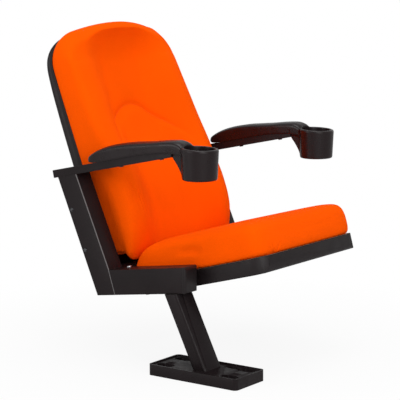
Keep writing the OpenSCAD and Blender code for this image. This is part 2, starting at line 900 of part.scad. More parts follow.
module cross_flange() {
    color(steel_colour)
    difference() {
        translate([post_w / 2, cross_y, cross_z])
            rotate([-upright_lean, 0, 0])
                rotate([90, 0, 90])
                    linear_extrude(flange_t)
                        round_rect(flange_w, flange_l, cross_corner_r);
        at_cross_bolts()
            x_bar(cross_bolt_r + bolt_play, flange_t + 2 * over, post_w / 2 - over, 0, 0);
    }
}

module near_cross_flange() {
    cross_flange();
}

module far_cross_flange() {
    at_side(true)
        cross_flange();
}

module cross_bolts() {
    color(zinc_colour)
    for (far = [false, true])
        at_side(far)
            at_cross_bolts()
                translate([post_w / 2 + flange_t, 0, 0])
                    rotate([0, 90, 0])
                        round_screw(cross_bolt_r, cross_bolt_head_r, cross_bolt_head_h,
                            flange_t + post_wall + cross_bolt_end);
}

// PIVOTS
// Distance that a pivot pin ends short of its bush's inner end
pin_short = 2;
pin_inner_x = box_wall_x - bush_l + over + pin_short;
bracket_t = 4;
// Gap between a hinge bracket and the pan's side
bracket_gap = 1;
// Outer face of the hinge bracket inside the pan
bracket_x = mid_x - seat_w / 2 + pan_wall + bracket_gap;

module pivot_bushes() {
    color(nylon_colour)
    for (far = [false, true])
        at_side(far)
            difference() {
                union() {
                    x_bar(bush_r, bush_l + post_wall - over, box_wall_x - bush_l + over, pivot_y, pivot_z);
                    x_bar(bush_flange_r, bush_flange_t, post_w / 2, pivot_y, pivot_z);
                }
                x_bar(pin_r + pin_play, bush_l + post_wall + bush_flange_t + 2 * over,
                    box_wall_x - bush_l, pivot_y, pivot_z);
            }
}

module pivot_pin() {
    color(zinc_colour)
    x_bar(pin_r, bracket_x + bracket_t - pin_inner_x, pin_inner_x, pivot_y, pivot_z);
}

module near_pivot_pin() {
    pivot_pin();
}

module far_pivot_pin() {
    at_side(true)
        pivot_pin();
}

// Torsion spring: a helix of round wire on the bush housing
spring_rings = 10;
spring_sides = 6;
// The straight facets of a turn still clear the housing
spring_coil_r = (housing_r + soft_gap + spring_wire / 2) / cos(180 / spring_rings);
spring_turn_gap = 1;
spring_pitch = spring_wire + spring_turn_gap;
spring_first_x = box_wall_x - soft_gap - spring_wire / 2;

function spring_ring(i) =
    let (turn = i / spring_rings * 360,
        x = spring_first_x - spring_pitch * i / spring_rings)
    [for (k = [0:spring_sides - 1])
        let (angle = 360 * k / spring_sides,
            r = spring_coil_r + spring_wire / 2 * cos(angle))
        [x - spring_wire / 2 * sin(angle),
            pivot_y + r * cos(turn),
            pivot_z + r * sin(turn)]];

// Middle of a ring of the spring, and the least gap between its turns measured on those points
function spring_middle(i) =
    let (ring = spring_ring(i)) (ring[0] + ring[spring_sides / 2]) / 2;
echo(spring_least_gap = min([for (i = [0:spring_rings * (spring_turns - 1)])
    norm(spring_middle(i + spring_rings) - spring_middle(i)) - spring_wire]));

module return_spring() {
    rings = spring_turns * spring_rings + 1;
    points = [for (i = [0:rings - 1]) each spring_ring(i)];
    color(zinc_colour)
    polyhedron(points = points, faces = loft_faces(rings, spring_sides), convexity = 10);
}

module near_return_spring() {
    return_spring();
}

module far_return_spring() {
    at_side(true)
        return_spring();
}

// Place of the stop pin in the seat's own frame
stop_at = [-stop_arm * cos(stop_start - seat_rise), stop_arm * sin(stop_start - seat_rise)];

module stop_pins() {
    at = about_pivot(stop_arm, stop_start);
    color(zinc_colour)
    for (far = [false, true])
        at_side(far)
            x_bar(stop_r, bracket_x + bracket_t - box_wall_x, box_wall_x, at[0], at[1]);
}

// SEAT
// Places its children in the seat's own frame: origin on the pivot, y to the rear along the seat,
// z square to the seat
module in_seat() {
    translate([mid_x, pivot_y, pivot_z])
        rotate([-seat_rise, 0, 0])
            children();
}

// Distance that the pan stays inside the arc of the seat's rear
pan_rear_gap = 3;
pan_rear_y = sqrt(seat_rear_r * seat_rear_r - pan_below * pan_below) - pan_rear_gap;
pan_edge_r = 8;

// Side view of the pan, drawn in by an inset and raised at the rim, in the seat's own frame
function pan_outline(inset, open) =
    let (low = -pan_below + inset,
        front = -seat_front + inset,
        rear = pan_rear_y - inset,
        r = pan_edge_r - inset)
    [[front, pan_above + open],
        for (step = [0:4])
            [front + pan_setback + r - r * cos(step * 22.5), low + r - r * sin(step * 22.5)],
        for (step = [4:-1:0])
            [rear - pan_setback - r + r * cos(step * 22.5), low + r - r * sin(step * 22.5)],
        [rear, pan_above + open]];

// Solid body of the pan, drawn in by an inset
module pan_body(inset, open) {
    intersection() {
        side_slab(seat_w - 2 * inset, pan_outline(inset, open));
        translate([0, (pan_rear_y - seat_front) / 2, -pan_below - over])
            linear_extrude(pan_below + pan_above + 3 * over)
                round_rect(seat_w - 2 * inset, seat_front + pan_rear_y - 2 * inset, seat_corner_r - inset);
    }
}

// Distances of the pan's screws from its sides, front and rear
pan_screw_side = 95;
pan_screw_front = 112;
pan_screw_rear = 75;
pan_boss_r = 9;

// Places its children on the pan's underside, under each screw
module at_pan_screws() {
    for (side = [-1, 1], y = [pan_screw_front - seat_front, pan_rear_y - pan_screw_rear])
        translate([side * (seat_w / 2 - pan_screw_side), y, -pan_below])
            children();
}

// Underside of the seat board
board_low = pan_above - board_t;

module seat_pan() {
    color(mould_colour)
    in_seat()
    difference() {
        union() {
            difference() {
                pan_body(0, 0);
                pan_body(pan_wall, over);
            }
            // Bosses that the board rests on
            at_pan_screws()
                translate([0, 0, pan_wall / 2])
                    cylinder(h = pan_below + board_low - pan_wall / 2, r = pan_boss_r, $fn = round_fn);
        }
        at_pan_screws()
            translate([0, 0, -over])
                cylinder(h = pan_below + board_low + 2 * over, r = screw_r + bolt_play, $fn = round_fn);
        // Openings for the pivot pins and the stop pins in both sides
        for (side = [-1, 1]) {
            pan_side_hole(side, 0, 0, pin_r);
            pan_side_hole(side, stop_at[0], stop_at[1], stop_r);
        }
    }
}

// Clearance hole through one side of the pan, in the seat's own frame
module pan_side_hole(side, y, z, r) {
    translate([side * (seat_w / 2 - pan_wall / 2), y, z])
        rotate([0, 90, 0])
            cylinder(h = pan_wall + 2 * over, r = r + bolt_play, center = true, $fn = round_fn);
}

board_inset = bracket_x + bracket_t + soft_gap - (mid_x - seat_w / 2);

module seat_board() {
    color(ply_colour)
    in_seat()
    difference() {
        translate([0, (pan_rear_y - seat_front) / 2, board_low])
            linear_extrude(board_t)
                round_rect(seat_w - 2 * board_inset, seat_front + pan_rear_y - 2 * board_inset,
                    seat_corner_r - board_inset);
        at_pan_screws()
            cylinder(h = pan_below + board_low + board_t / 2, r = screw_r, $fn = round_fn);
        at_bracket_screws()
            cylinder(h = board_t / 2, r = screw_r, $fn = round_fn);
    }
}

bracket_l = 120;
bracket_flange = 40;
bracket_low = 20;
// Distance of the bracket's screws from its ends
bracket_screw_end = 20;

// Places its children on the board's underside, above each screw of the brackets
module at_bracket_screws() {
    for (side = [-1, 1], end = [-1, 1])
        translate([side * (mid_x - bracket_x - bracket_t - bracket_flange / 2),
            end * (bracket_l / 2 - bracket_screw_end), board_low])
            children();
}

// Angle of plate: an upright cheek with the pins' holes and a flange under the board
module hinge_bracket() {
    cheek_x = bracket_x - mid_x;
    color(steel_colour)
    in_seat()
    difference() {
        union() {
            translate([cheek_x, -bracket_l / 2, -bracket_low])
                cube([bracket_t, bracket_l, bracket_low + board_low + board_t / 2]);
            translate([cheek_x, -bracket_l / 2, board_low - bracket_t])
                cube([bracket_t + bracket_flange, bracket_l, bracket_t]);
        }
        translate([cheek_x - over, 0, 0])
            rotate([0, 90, 0])
                cylinder(h = bracket_t + over, r = pin_r + pin_play / 2, $fn = round_fn);
        translate([cheek_x - over, stop_at[0], stop_at[1]])
            rotate([0, 90, 0])
                cylinder(h = bracket_t + over, r = stop_r + pin_play / 2, $fn = round_fn);
        at_bracket_screws()
            translate([0, 0, -bracket_t - over])
                cylinder(h = bracket_t + 2 * over, r = screw_r + bolt_play, $fn = round_fn);
    }
}

module near_hinge_bracket() {
    hinge_bracket();
}

module far_hinge_bracket() {
    at_side(true)
        hinge_bracket();
}

module bracket_screws() {
    color(zinc_colour)
    in_seat()
        at_bracket_screws()
            translate([0, 0, -bracket_t])
                mirror([0, 0, 1])
                    round_screw(screw_r - pin_play, screw_head_r, screw_head_h,
                        bracket_t + board_t / 2 - over);
}

module pan_screws() {
    color(zinc_colour)
    in_seat()
        at_pan_screws()
            mirror([0, 0, 1])
                round_screw(screw_r - pin_play, screw_head_r, screw_head_h,
                    pan_below + board_low + board_t / 2 - over);
}

// Rings of the seat cushion from its lower edge to the middle of its top: how far each is drawn in
// and how high it lies, as shares of the rounding and of the cushion's thickness
seat_ring_inset_shares = [0.16, 0.05, 0.00, 0.00, 0.05, 0.18, 0.42, 0.80, 1.50, 2.60, 3.80];
seat_ring_height_shares = [0.00, 0.07, 0.25, 0.52, 0.72, 0.87, 0.955, 0.985, 1.00, 1.01, 1.015];
seat_edge_round = 48;
seat_ring_n = 64;
seat_base_z = pan_above + soft_gap;
seat_cushion_inset = 1;
// Squareness of the cushion's plan at the front and at the rear, smaller is squarer
seat_square_share = 0.20;
seat_rear_square_share = 0.08;
// How far the rear edge is drawn in, as a share of the other edges
rear_inset_share = 0.9;

// Point k of a ring: a superellipse in plan
function seat_ring_point(k, inset, z) =
    let (angle = 360 * k / seat_ring_n,
        half = seat_w / 2 - seat_cushion_inset - inset,
        front = seat_front - inset,
        rear = sqrt(seat_rear_r * seat_rear_r - z * z) - inset * rear_inset_share,
        square_share = cos(angle) > 0 ? seat_square_share : seat_rear_square_share,
        x = half * signed_pow(sin(angle), square_share),
        along = signed_pow(cos(angle), square_share))
    [x, blend(-front, rear, (1 - along) / 2), z];

module seat_cushion() {
    rings = len(seat_ring_inset_shares);
    points = [for (i = [0:rings - 1], k = [0:seat_ring_n - 1])
        seat_ring_point(k, seat_ring_inset_shares[i] * seat_edge_round,
            seat_base_z + seat_ring_height_shares[i] * seat_cushion_t)];
    color(fabric_colour)
    in_seat()
        polyhedron(points = points, faces = loft_faces(rings, seat_ring_n), convexity = 4);
}

// BACKREST
// The spine is the line between cushion and shell, seen from the side: straight, then a rolled top
spine_turn = -back_top_turn / back_top_l * PI / 180;

// Lean of the spine at a length a from its foot, in degrees
function spine_lean(a) = back_lean - max(0, a - back_straight) * back_top_turn / back_top_l;
// Point [y, z] of the spine at a length a from its foot
function spine_at(a) =
    let (straight = min(a, back_straight),
        y = back_foot_y + straight * sin(back_lean),
        z = back_foot_z + straight * cos(back_lean),
        lean = spine_lean(a))
    a <= back_straight ? [y, z]
        : [y + (cos(back_lean) - cos(lean)) / spine_turn,
            z + (sin(lean) - sin(back_lean)) / spine_turn];
// Point at x from the middle, a along the spine and d in front of it
function back_point(x, a, d) =
    let (p = spine_at(a), lean = spine_lean(a))
    [mid_x + x, p[0] - d * cos(lean), p[1] + d * sin(lean)];

back_l = back_straight + back_top_l;
back_foot_r = 34;
top_arch = 26;
// Distance that the cushion's lower front edge hangs below its rear edge
foot_drop = 30;

// Half width of the backrest at a length a, with round corners at the top and the foot
function back_half(a, half, l) =
    let (top = max(0, a - (l - back_corner_r)),
        foot = max(0, back_foot_r - a))
    half - back_corner_r + sqrt(max(0, back_corner_r * back_corner_r - top * top))
        - back_foot_r + sqrt(max(0, back_foot_r * back_foot_r - foot * foot));

// Depth of the bolsters and of the middle along the backrest, as shares of their full depths
bolster_shares = [0.66, 0.97, 1.04, 1.01, 0.96, 0.89, 0.83, 0.77, 0.71, 0.62, 0.46];
centre_shares = [1.30, 1.45, 1.50, 1.40, 1.20, 1.00, 0.98, 1.04, 1.16, 1.26, 1.10];
bolster_crest = 200;
bolster_valley = 70;
arch_top_a = 415;
arch_half_w = 140;
arch_drop = 104;
arch_pad = 9;
arch_groove = 5;
arch_groove_w = 14;
cushion_edge = 16;
cushion_draw = 6;

// Signed distance below the arched seam of the lumbar pad
function below_arch(x, a) = arch_top_a - arch_drop * pow(x / arch_half_w, 2) - a;

// Depth of the cushion's face in front of the spine, before its edges fall away
function face_depth(x, a) =
    let (t = a / back_l,
        side = ease((abs(x) - bolster_valley) / (bolster_crest - bolster_valley)),
        face = blend(table_at(centre_shares, t) * centre_t, table_at(bolster_shares, t) * bolster_t, side),
        below = below_arch(x, a),
        inside = ease(below / arch_groove_w / 2) * (1 - side),
        groove = exp(-pow(below / arch_groove_w, 2)) * (1 - side))
    face + arch_pad * inside - arch_groove * groove;

cushion_square_share = 0.22;

// Places across a sheet or along it, from -1 to 1, closer together at the ends
function spread(i, n) = sin(-90 + 180 * i / n);
// Share of full depth at a place from -1 to 1, full in the middle and rounded off at the ends
function round_off(place, square_share) =
    pow(max(0, 1 - pow(abs(place), 2 / square_share)), square_share / 2);

cushion_nx = 30;
// Rows below the arched seam, across it and above it
rows_below = 14;
rows_across = 4;
rows_above = 13;
cushion_na = rows_below + rows_across + rows_above;

// Length along the backrest of row j at its middle, and the row's hold on the arch
function row_length(j) =
    j <= rows_below ? (arch_top_a - 2 * arch_groove_w) * (1 - cos(90 * j / rows_below))
        : j < rows_below + rows_across
            ? arch_top_a + 2 * arch_groove_w * (2 * (j - rows_below) / rows_across - 1)
            : blend(arch_top_a + 2 * arch_groove_w, back_l,
                sin(90 * (j - rows_below - rows_across) / rows_above));
function row_hold(j) =
    let (a = row_length(j))
    a < arch_top_a ? a / arch_top_a : (back_l - a) / (back_l - arch_top_a);

// One point of the cushion's face, or of its rear edge, which is drawn in
function cushion_point(i, j, rear) =
    let (place = spread(i, cushion_nx),
        draw = rear ? cushion_draw : 0,
        row = row_length(j),
        t = row / back_l,
        half = back_half(row, back_w / 2, back_l) - draw,
        x = half * place,
        sunk = arch_drop * min(1, pow(x / arch_half_w, 2)) * row_hold(j),
        arch = top_arch * (1 - place * place) * ease(t) - top_arch / 2,
        a = blend(draw, back_l - draw, t) + arch - sunk,
        full = round_off(place, cushion_square_share) * round_off(2 * t - 1, cushion_square_share),
        depth = rear ? soft_gap : blend(cushion_edge, face_depth(x, a), full),
        drop = foot_drop * depth / bolster_t * ease(1 - a / bolster_t))
    back_point(x, a - drop, depth);

// Whether cell i, j of a sheet is split the other way, so that no triangle lies flat in a corner
function split_other(i, j, nx, na) = (i < nx / 2) != (j < na / 2);

// Places [i, j] round the edge of a sheet, along its foot first and up its far side
function rim(nx, na) = concat(
    [for (i = [0:nx - 1]) [i, 0]],
    [for (j = [0:na - 1]) [nx, j]],
    [for (i = [nx:-1:1]) [i, na]],
    [for (j = [na:-1:1]) [0, j]]);

// Skin of a padded sheet: a face of (nx + 1) by (na + 1) points, then the points of its rear rim,
// which straight strips across the rear join
function padded_faces(nx, na) =
    let (row = nx + 1,
        edge = rim(nx, na),
        n = len(edge),
        first = row * (na + 1),
        mid = nx / 2)
    concat(
        [for (j = [0:na - 1], i = [0:nx - 1])
            let (a = j * row + i) each quad(a, a + row, a + row + 1, a + 1, split_other(i, j, nx, na))],
        [for (k = [0:n - 1])
            let (m = (k + 1) % n, a = edge[k], b = edge[m])
            each quad(first + m, first + k, a[1] * row + a[0], b[1] * row + b[0])],
        [for (j = [1:na - 2])
            let (left = first + n - j, right = first + nx + j)
            each quad(left, right, right + 1, left - 1)],
        [for (i = [0:nx - 1]) [first + i, first + i + 1, i < mid ? first + n - 1 : first + nx + 1]],
        [[first + n - 1, first + mid, first + nx + 1]],
        let (left = first + n - na + 1, right = first + nx + na - 1, top = first + nx + na)
        [for (i = [0:nx - 1]) [top + nx - i - 1, top + nx - i, i < mid ? left : right],
            [left, right, top + mid]]);

module back_cushion() {
    points = concat(
        [for (j = [0:cushion_na], i = [0:cushion_nx]) cushion_point(i, j, false)],
        [for (at = rim(cushion_nx, cushion_na)) cushion_point(at[0], at[1], true)]);
    color(fabric_colour)
    polyhedron(points = points, faces = padded_faces(cushion_nx, cushion_na), convexity = 6);
}

// Depth of the shell behind the spine along the backrest, as shares of its depth at the foot
shell_depth_shares = [0.80, 0.96, 1.00, 0.98, 0.96, 0.93, 0.90, 0.85, 0.76, 0.56, 0.20];
shell_nx = 18;
shell_na = 22;
shell_square_share = 0.26;
// Distance that the shell's foot hangs below the cushion's
shell_drop = 24;
// Gap between the shell's edge and the spine
shell_seam = 0.9;
// Distance that the shell's top stays below the cushion's
shell_short = 30;
shell_l = back_l - shell_short;

// Depth of the shell's outer skin behind the spine
function shell_depth(place, t) =
    shell_seam + table_at(shell_depth_shares, t) * (shell_t - shell_seam)
        * round_off(place, shell_square_share) * round_off(2 * t - 1, shell_square_share);

// One point of the shell's outer skin, or of its inner one
function shell_point(i, j, inner) =
    let (wall = inner ? shell_wall : 0,
        place = spread(i, shell_nx),
        t = (spread(j, shell_na) + 1) / 2,
        edge = i == 0 || i == shell_nx || j == 0 || j == shell_na,
        arch = top_arch * (1 - place * place) * ease(t) - top_arch / 2,
        a = blend(wall - shell_drop, shell_l - wall, t) + arch,
        half = back_half(t * shell_l, back_w / 2 - shell_inset, shell_l) - wall)
    back_point(half * place, a, edge ? -shell_seam : wall - shell_depth(place, t));

// Skin of two sheets of (nx + 1) by (na + 1) points joined round their edges, the first one to the rear
function shell_faces(nx, na) =
    let (row = nx + 1,
        edge = rim(nx, na),
        n = len(edge),
        total = row * (na + 1))
    concat(
        [for (j = [0:na - 1], i = [0:nx - 1])
            let (a = j * row + i) each quad(a, a + 1, a + row + 1, a + row, split_other(i, j, nx, na))],
        [for (j = [0:na - 1], i = [0:nx - 1])
            let (a = total + j * row + i)
            each quad(a, a + row, a + row + 1, a + 1, split_other(i, j, nx, na))],
        [for (k = [0:n - 1])
            let (a = edge[k], b = edge[(k + 1) % n], from = a[1] * row + a[0], to = b[1] * row + b[0])
            each quad(to, from, total + from, total + to)]);

// BOARD AND SCREWS OF THE BACKREST
back_board_inset = 16;
// Distances that the board ends short of the cushion's foot and top
board_foot = 12;
board_short = 62;
board_half = back_w / 2 - shell_inset - back_board_inset;
board_steps = 12;

// Line of [y, z] points along the spine at a depth: one straight, then round the roll
function spine_line(d) = [
    for (a = concat([board_foot],
            [for (s = [0:board_steps]) blend(back_straight, back_l - board_short, s / board_steps)]))
        let (p = back_point(0, a, d))
        [p[1], p[2]]];

function reversed(list) = [for (k = [len(list) - 1:-1:0]) list[k]];

// Places its children on the rear of the board, with z square to it and towards the cushion
module at_board_rear(x, a) {
    translate(back_point(x, a, -soft_gap - board_t))
        rotate([90 - back_lean, 0, 0])
            children();
}

shell_screw_r = 2.5;
shell_screw_head_r = 5;
shell_screw_head_h = 2.5;
shell_boss_r = 8;
// Length of boss that a screw clamps
shell_boss_grip = 20;
// Places of the shell's screws, as shares of its half width and of its length
shell_screw_side_share = 0.6;
shell_screw_length_shares = [0.13, 0.72];

// Places its children at each screw of the shell; $reach is the shell's skin behind the board there
module at_shell_screws() {
    for (side = [-1, 1], share = shell_screw_length_shares) {
        $reach = shell_depth(shell_screw_side_share, share) - soft_gap - board_t;
        at_board_rear(side * shell_screw_side_share * (back_w / 2 - shell_inset), share * shell_l)
            children();
    }
}

module back_shell() {
    points = [for (inner = [false, true], j = [0:shell_na], i = [0:shell_nx]) shell_point(i, j, inner)];
    color(mould_colour)
    difference() {
        union() {
            polyhedron(points = points, faces = shell_faces(shell_nx, shell_na), convexity = 8);
            // Bosses that stand on the rear of the board
            at_shell_screws()
                translate([0, 0, shell_wall / 2 - $reach])
                    cylinder(h = $reach - shell_wall / 2, r = shell_boss_r, $fn = round_fn);
        }
        at_shell_screws() {
            translate([0, 0, -$reach - over])
                cylinder(h = $reach + over - shell_boss_grip, r = shell_screw_head_r + bolt_play,
                    $fn = round_fn);
            translate([0, 0, -$reach])
                cylinder(h = $reach + over, r = shell_screw_r + bolt_play, $fn = round_fn);
        }
        // Slots for the brackets' tongues
        for (z = back_bolt_z, far = [false, true])
            at_side(far)
                bracket_tongue(z, tongue_play);
    }
}

module shell_screws() {
    color(zinc_colour)
    at_shell_screws()
        translate([0, 0, -shell_boss_grip])
            mirror([0, 0, 1])
                round_screw(shell_screw_r, shell_screw_head_r, shell_screw_head_h,
                    shell_boss_grip + board_t / 2);
}

module back_board() {
    corner_r = back_corner_r - back_board_inset;
    top_z = spine_at(back_l - board_short)[1];
    foot_z = back_foot_z - corner_r;
    color(ply_colour)
    difference() {
        intersection() {
            side_slab(2 * board_half,
                concat(spine_line(-soft_gap), reversed(spine_line(-soft_gap - board_t))), mid_x);
            // Front view outline with round top corners
            translate([mid_x, back_foot_y, (top_z + foot_z) / 2])
                rotate([90, 0, 0])
                    linear_extrude(2 * back_l, center = true)
                        round_rect(2 * board_half, top_z - foot_z, corner_r);
        }
        at_shell_screws()
            translate([0, 0, -over])
                cylinder(h = board_t / 2 + 2 * over, r = shell_screw_r, $fn = round_fn);
        for (far = [false, true])
            at_side(far)
                at_board_screws()
                    translate([0, 0, -over])
                        cylinder(h = board_t / 2 + 2 * over, r = board_screw_r, $fn = round_fn);
    }
}

// BACK BRACKETS
tongue_w = 40;
tongue_t = 4;
// Length of a tongue that lies on the board, and its clearance in the shell's slot
tongue_lap = 25;
tongue_play = 1;
tongue_l = mid_x - board_half + tongue_lap - post_w / 2;
bracket_plate_t = 5;
bracket_plate_r = 24;
board_screw_r = 2.5;
board_screw_head_r = 5;
board_screw_head_h = 2.5;

// Length along the spine that lies square behind a bolt
function bolt_along(z) =
    let (dy = upright_rear_y(z) - back_bolt_inset - back_foot_y, dz = z - back_foot_z)
    dy * sin(back_lean) + dz * cos(back_lean);

// Tongue that lies on the rear of the board, from the standard's inner side and grown by a clearance
module bracket_tongue(z, grow = 0) {
    translate([post_w / 2 - mid_x, 0, 0])
        at_board_rear(0, bolt_along(z))
            translate([-grow, -tongue_w / 2 - grow, -tongue_t - grow])
                cube([tongue_l + 2 * grow, tongue_w + 2 * grow, tongue_t + 2 * grow]);
}

// Places its children on the board at the near side's bracket screws
module at_board_screws() {
    for (z = back_bolt_z)
        at_board_rear(tongue_lap / 2 - board_half, bolt_along(z))
            children();
}

// Round plate on the upright's inner face, with the tongue welded to it
module back_brackets() {
    color(steel_colour)
    for (far = [false, true])
        at_side(far)
            difference() {
                for (z = back_bolt_z) {
                    bracket_tongue(z);
                    x_bar(bracket_plate_r, bracket_plate_t, post_w / 2,
                        upright_rear_y(z) - back_bolt_inset, z);
                }
                at_back_bolts()
                    x_bar(back_bolt_r + bolt_play, bracket_plate_t + 2 * over, post_w / 2 - over, 0, 0);
                at_board_screws()
                    translate([0, 0, -tongue_t - over])
                        cylinder(h = tongue_t + 2 * over, r = board_screw_r + bolt_play, $fn = round_fn);
            }
}

module board_screws() {
    color(zinc_colour)
    for (far = [false, true])
        at_side(far)
            at_board_screws()
                translate([0, 0, -tongue_t])
                    mirror([0, 0, 1])
                        round_screw(board_screw_r, board_screw_head_r, board_screw_head_h,
                            tongue_t + board_t / 2);
}

// Bolts through each upright into its bracket, with low round heads outside
module back_bolts() {
    color(steel_colour)
    for (far = [false, true])
        at_side(far)
            at_back_bolts()
                translate([-post_w / 2, 0, 0])
                    rotate([0, -90, 0])
                        round_screw(back_bolt_r, back_bolt_head_r, back_bolt_head_h,
                        post_w + bracket_plate_t);
}

foot_plate();
leg_tube();
near_hinge_box();
far_hinge_box();
near_box_cap();
far_box_cap();
near_upright();
far_upright();
near_arm_bar();
far_arm_bar();
arm_bar_caps();
near_armrest();
far_armrest();
armrest_screws();
box_screw();
cross_tube();
near_cross_flange();
far_cross_flange();
cross_bolts();
back_shell();
back_board();
back_cushion();
back_brackets();
back_bolts();
board_screws();
shell_screws();
pivot_bushes();
near_return_spring();
far_return_spring();
stop_buffers();
near_pivot_pin();
far_pivot_pin();
stop_pins();
seat_pan();
seat_board();
near_hinge_bracket();
far_hinge_bracket();
bracket_screws();
pan_screws();
seat_cushion();
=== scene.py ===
"""Tip up auditorium seat, dressed over its CAD frame. Lengths are in metres, angles in degrees."""

import math

import bmesh
import bpy
import numpy as np
from bpy.props import FloatProperty, FloatVectorProperty, IntProperty, PointerProperty
from bpy.types import Operator, Panel, PropertyGroup
from mathutils import Matrix, Vector
from mathutils.bvhtree import BVHTree
from mathutils.kdtree import KDTree


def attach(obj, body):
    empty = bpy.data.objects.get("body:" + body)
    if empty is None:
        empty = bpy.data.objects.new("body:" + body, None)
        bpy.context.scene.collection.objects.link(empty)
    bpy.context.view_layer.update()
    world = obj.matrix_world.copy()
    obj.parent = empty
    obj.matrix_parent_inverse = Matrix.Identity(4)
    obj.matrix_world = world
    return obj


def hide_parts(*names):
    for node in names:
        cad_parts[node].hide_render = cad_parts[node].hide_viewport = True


bl_info = {
    "name": "Tip up auditorium seat",
    "version": (1, 0, 0),
    "blender": (4, 5, 0),
    "location": "View3D > Sidebar > Seat",
    "description": "Dresses the frame of a tip up auditorium seat with cloth, moulded and painted pieces",
    "category": "Object",
}

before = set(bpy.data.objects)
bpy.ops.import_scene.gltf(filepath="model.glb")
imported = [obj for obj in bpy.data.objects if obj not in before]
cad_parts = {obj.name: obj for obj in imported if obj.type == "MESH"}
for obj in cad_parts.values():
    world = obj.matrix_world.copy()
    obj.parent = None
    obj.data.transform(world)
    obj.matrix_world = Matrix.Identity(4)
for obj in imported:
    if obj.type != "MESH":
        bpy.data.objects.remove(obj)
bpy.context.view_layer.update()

# Middle of the seat between its two standards
MID_X = 0.29

# Backrest: foot, lean and the rolled top of the line between cushion and shell
BACK_FOOT = (0.371, 0.290)
BACK_LEAN = 21.3
BACK_STRAIGHT = 0.540
BACK_ROLL = 0.146
BACK_ROLL_TURN = 66.0
BACK_L = BACK_STRAIGHT + BACK_ROLL
BACK_W = 0.490
BACK_TOP_R = 0.074
BACK_FOOT_R = 0.034
TOP_ARCH = 0.026
BACK_GRID = (88, 120)
# Its padding, a centre between two bolsters. Shares run from the foot to the top, and a low square is squarer
BOLSTER_T = 0.130
CENTRE_T = 0.046
CENTRE_HALF = 0.070
BOLSTER_SWEEP = 0.130
BACK_SQUARE = 0.22
BACK_RIM_DEPTH = 0.016
BACK_REAR_DEPTH = 0.0006
BACK_REAR_INSET = 0.006
BOLSTER_SHARES = [0.66, 0.97, 1.04, 1.01, 0.96, 0.89, 0.83, 0.77, 0.71, 0.62, 0.46]
CENTRE_SHARES = [1.30, 1.45, 1.50, 1.40, 1.20, 1.00, 0.98, 1.03, 1.06, 0.98, 0.74]
# The foot of the bolsters hangs down where the padding is deep
HANG_DROP = 0.029
HANG_DEPTH = 0.044
HANG_SOFT = 0.014
# Arched seam, and the lumbar pad below it
ARCH_TOP = 0.415
ARCH_HALF = 0.140
ARCH_DROP = 0.104
ARCH_SOFT = 0.014
LUMBAR_RISE = 0.009
ARCH_DIP = 0.004
SEAM_HALF = 0.0042
SEAM_POWER = 1.6
SEAM_FADE_SHARE = 0.55
SEAM_FADE_SPAN = 0.6
SEAM_FRONT = 0.020
SEAM_FRONT_SOFT = 0.015
SEAM_HOLD = 0.9
SEAM_HOLD_HALF = 0.010
# Stitches: how much of the seam has them, their gap and thread as shares of their length, and how they lie
STITCHED_SHARE = 0.94
STITCH_GAP_SHARE = 0.3
THREAD_SHARE = 0.11
STITCH_LIFT = 0.0001
SEAM_STEPS = 160
RAY_START = 0.25

# Rear shell, with the bosses and stepped bores of its screws
SHELL_T = 0.050
SHELL_SHARES = [0.80, 0.96, 1.00, 0.98, 0.96, 0.93, 0.90, 0.85, 0.76, 0.56, 0.20]
SHELL_INSET = 0.006
SHELL_WALL = 0.003
SHELL_SEAM = 0.0009
SHELL_DROP = 0.024
SHELL_SHORTER = 0.030
SHELL_L = BACK_L - SHELL_SHORTER
SHELL_SQUARE = 0.26
SHELL_GRID = (72, 104)
SHELL_SCREW_SIDE = 0.6
SHELL_SCREW_SHARES = (0.13, 0.72)
BOSS_R = 0.008
BORE_MOUTH_R = 0.0066
BORE_R = 0.0053
BORE_END = 0.020
SHANK_BORE_R = 0.0028
BORE_OVERRUN = 0.001
MOUTH_OVERRUN = 0.004
MOUTH_DEPTH = 0.0008
BORE_SIDES = 48
# Board behind the cushion, and the slots for the tongues of the brackets behind it
BOARD_REAR = -0.0113
BOARD_INSET = 0.016
BOARD_HALF = BACK_W / 2 - SHELL_INSET - BOARD_INSET
TONGUE_W = 0.040
TONGUE_T = 0.004
TONGUE_LAP = 0.025
TONGUE_PLACES = (0.0275, 0.1472)
TONGUE_ROOM = 0.001
SLOT_W = 0.060
# Flaps at the sides of the backrest's foot: depths of the fold from the foot up, its width, sink and reach
FOLD_DEPTHS = [0.048, 0.050, 0.050, 0.049, 0.045, 0.041, 0.030]
FOLD_L = 0.235
FOLD_W = 0.0110
FOLD_SINK = 0.0085
FLAP_SINK = 0.0065
FLAP_SOFT = 0.010
FLAP_REACH = 0.034
FLAP_REACH_SOFT = 0.020
FLAP_END = 0.020
FLAP_END_SOFT = 0.070

# Seat: pivot, rise and the rings of its cushion
PIVOT = (0.1454, 0.2443)
SEAT_RISE = 15.0
SEAT_W = 0.490
SEAT_FRONT = 0.312
SEAT_REAR_R = 0.141
SEAT_T = 0.096
SEAT_BASE = 0.0148
SEAT_ROUND = 0.048
SEAT_SIDE_GAP = 0.001
SEAT_RINGS = 72
SEAT_AROUND = 256
SEAT_REAR_SQUARE = 0.20
SEAT_FRONT_SQUARE = 0.08
SEAT_REAR_RISE = 0.060
SEAT_REAR_SHARE = 0.9
SEAT_INSET_SHARES = [0.16, 0.05, 0.00, 0.00, 0.05, 0.18, 0.42, 0.80, 1.50, 2.60, 3.80]
SEAT_HEIGHT_SHARES = [0.00, 0.07, 0.25, 0.52, 0.72, 0.87, 0.955, 0.985, 1.00, 1.01, 1.015]

# Cloth: the share of its swell that the padding is drawn in by, and how low on a piece it is held fast
SWELL_SHARE = 0.7
HOLD_DEPTH = 0.014
BACK_HOLD_SOFT = 0.008
SEAT_HOLD_SOFT = 0.010
CLOTH_FRAMES = 20
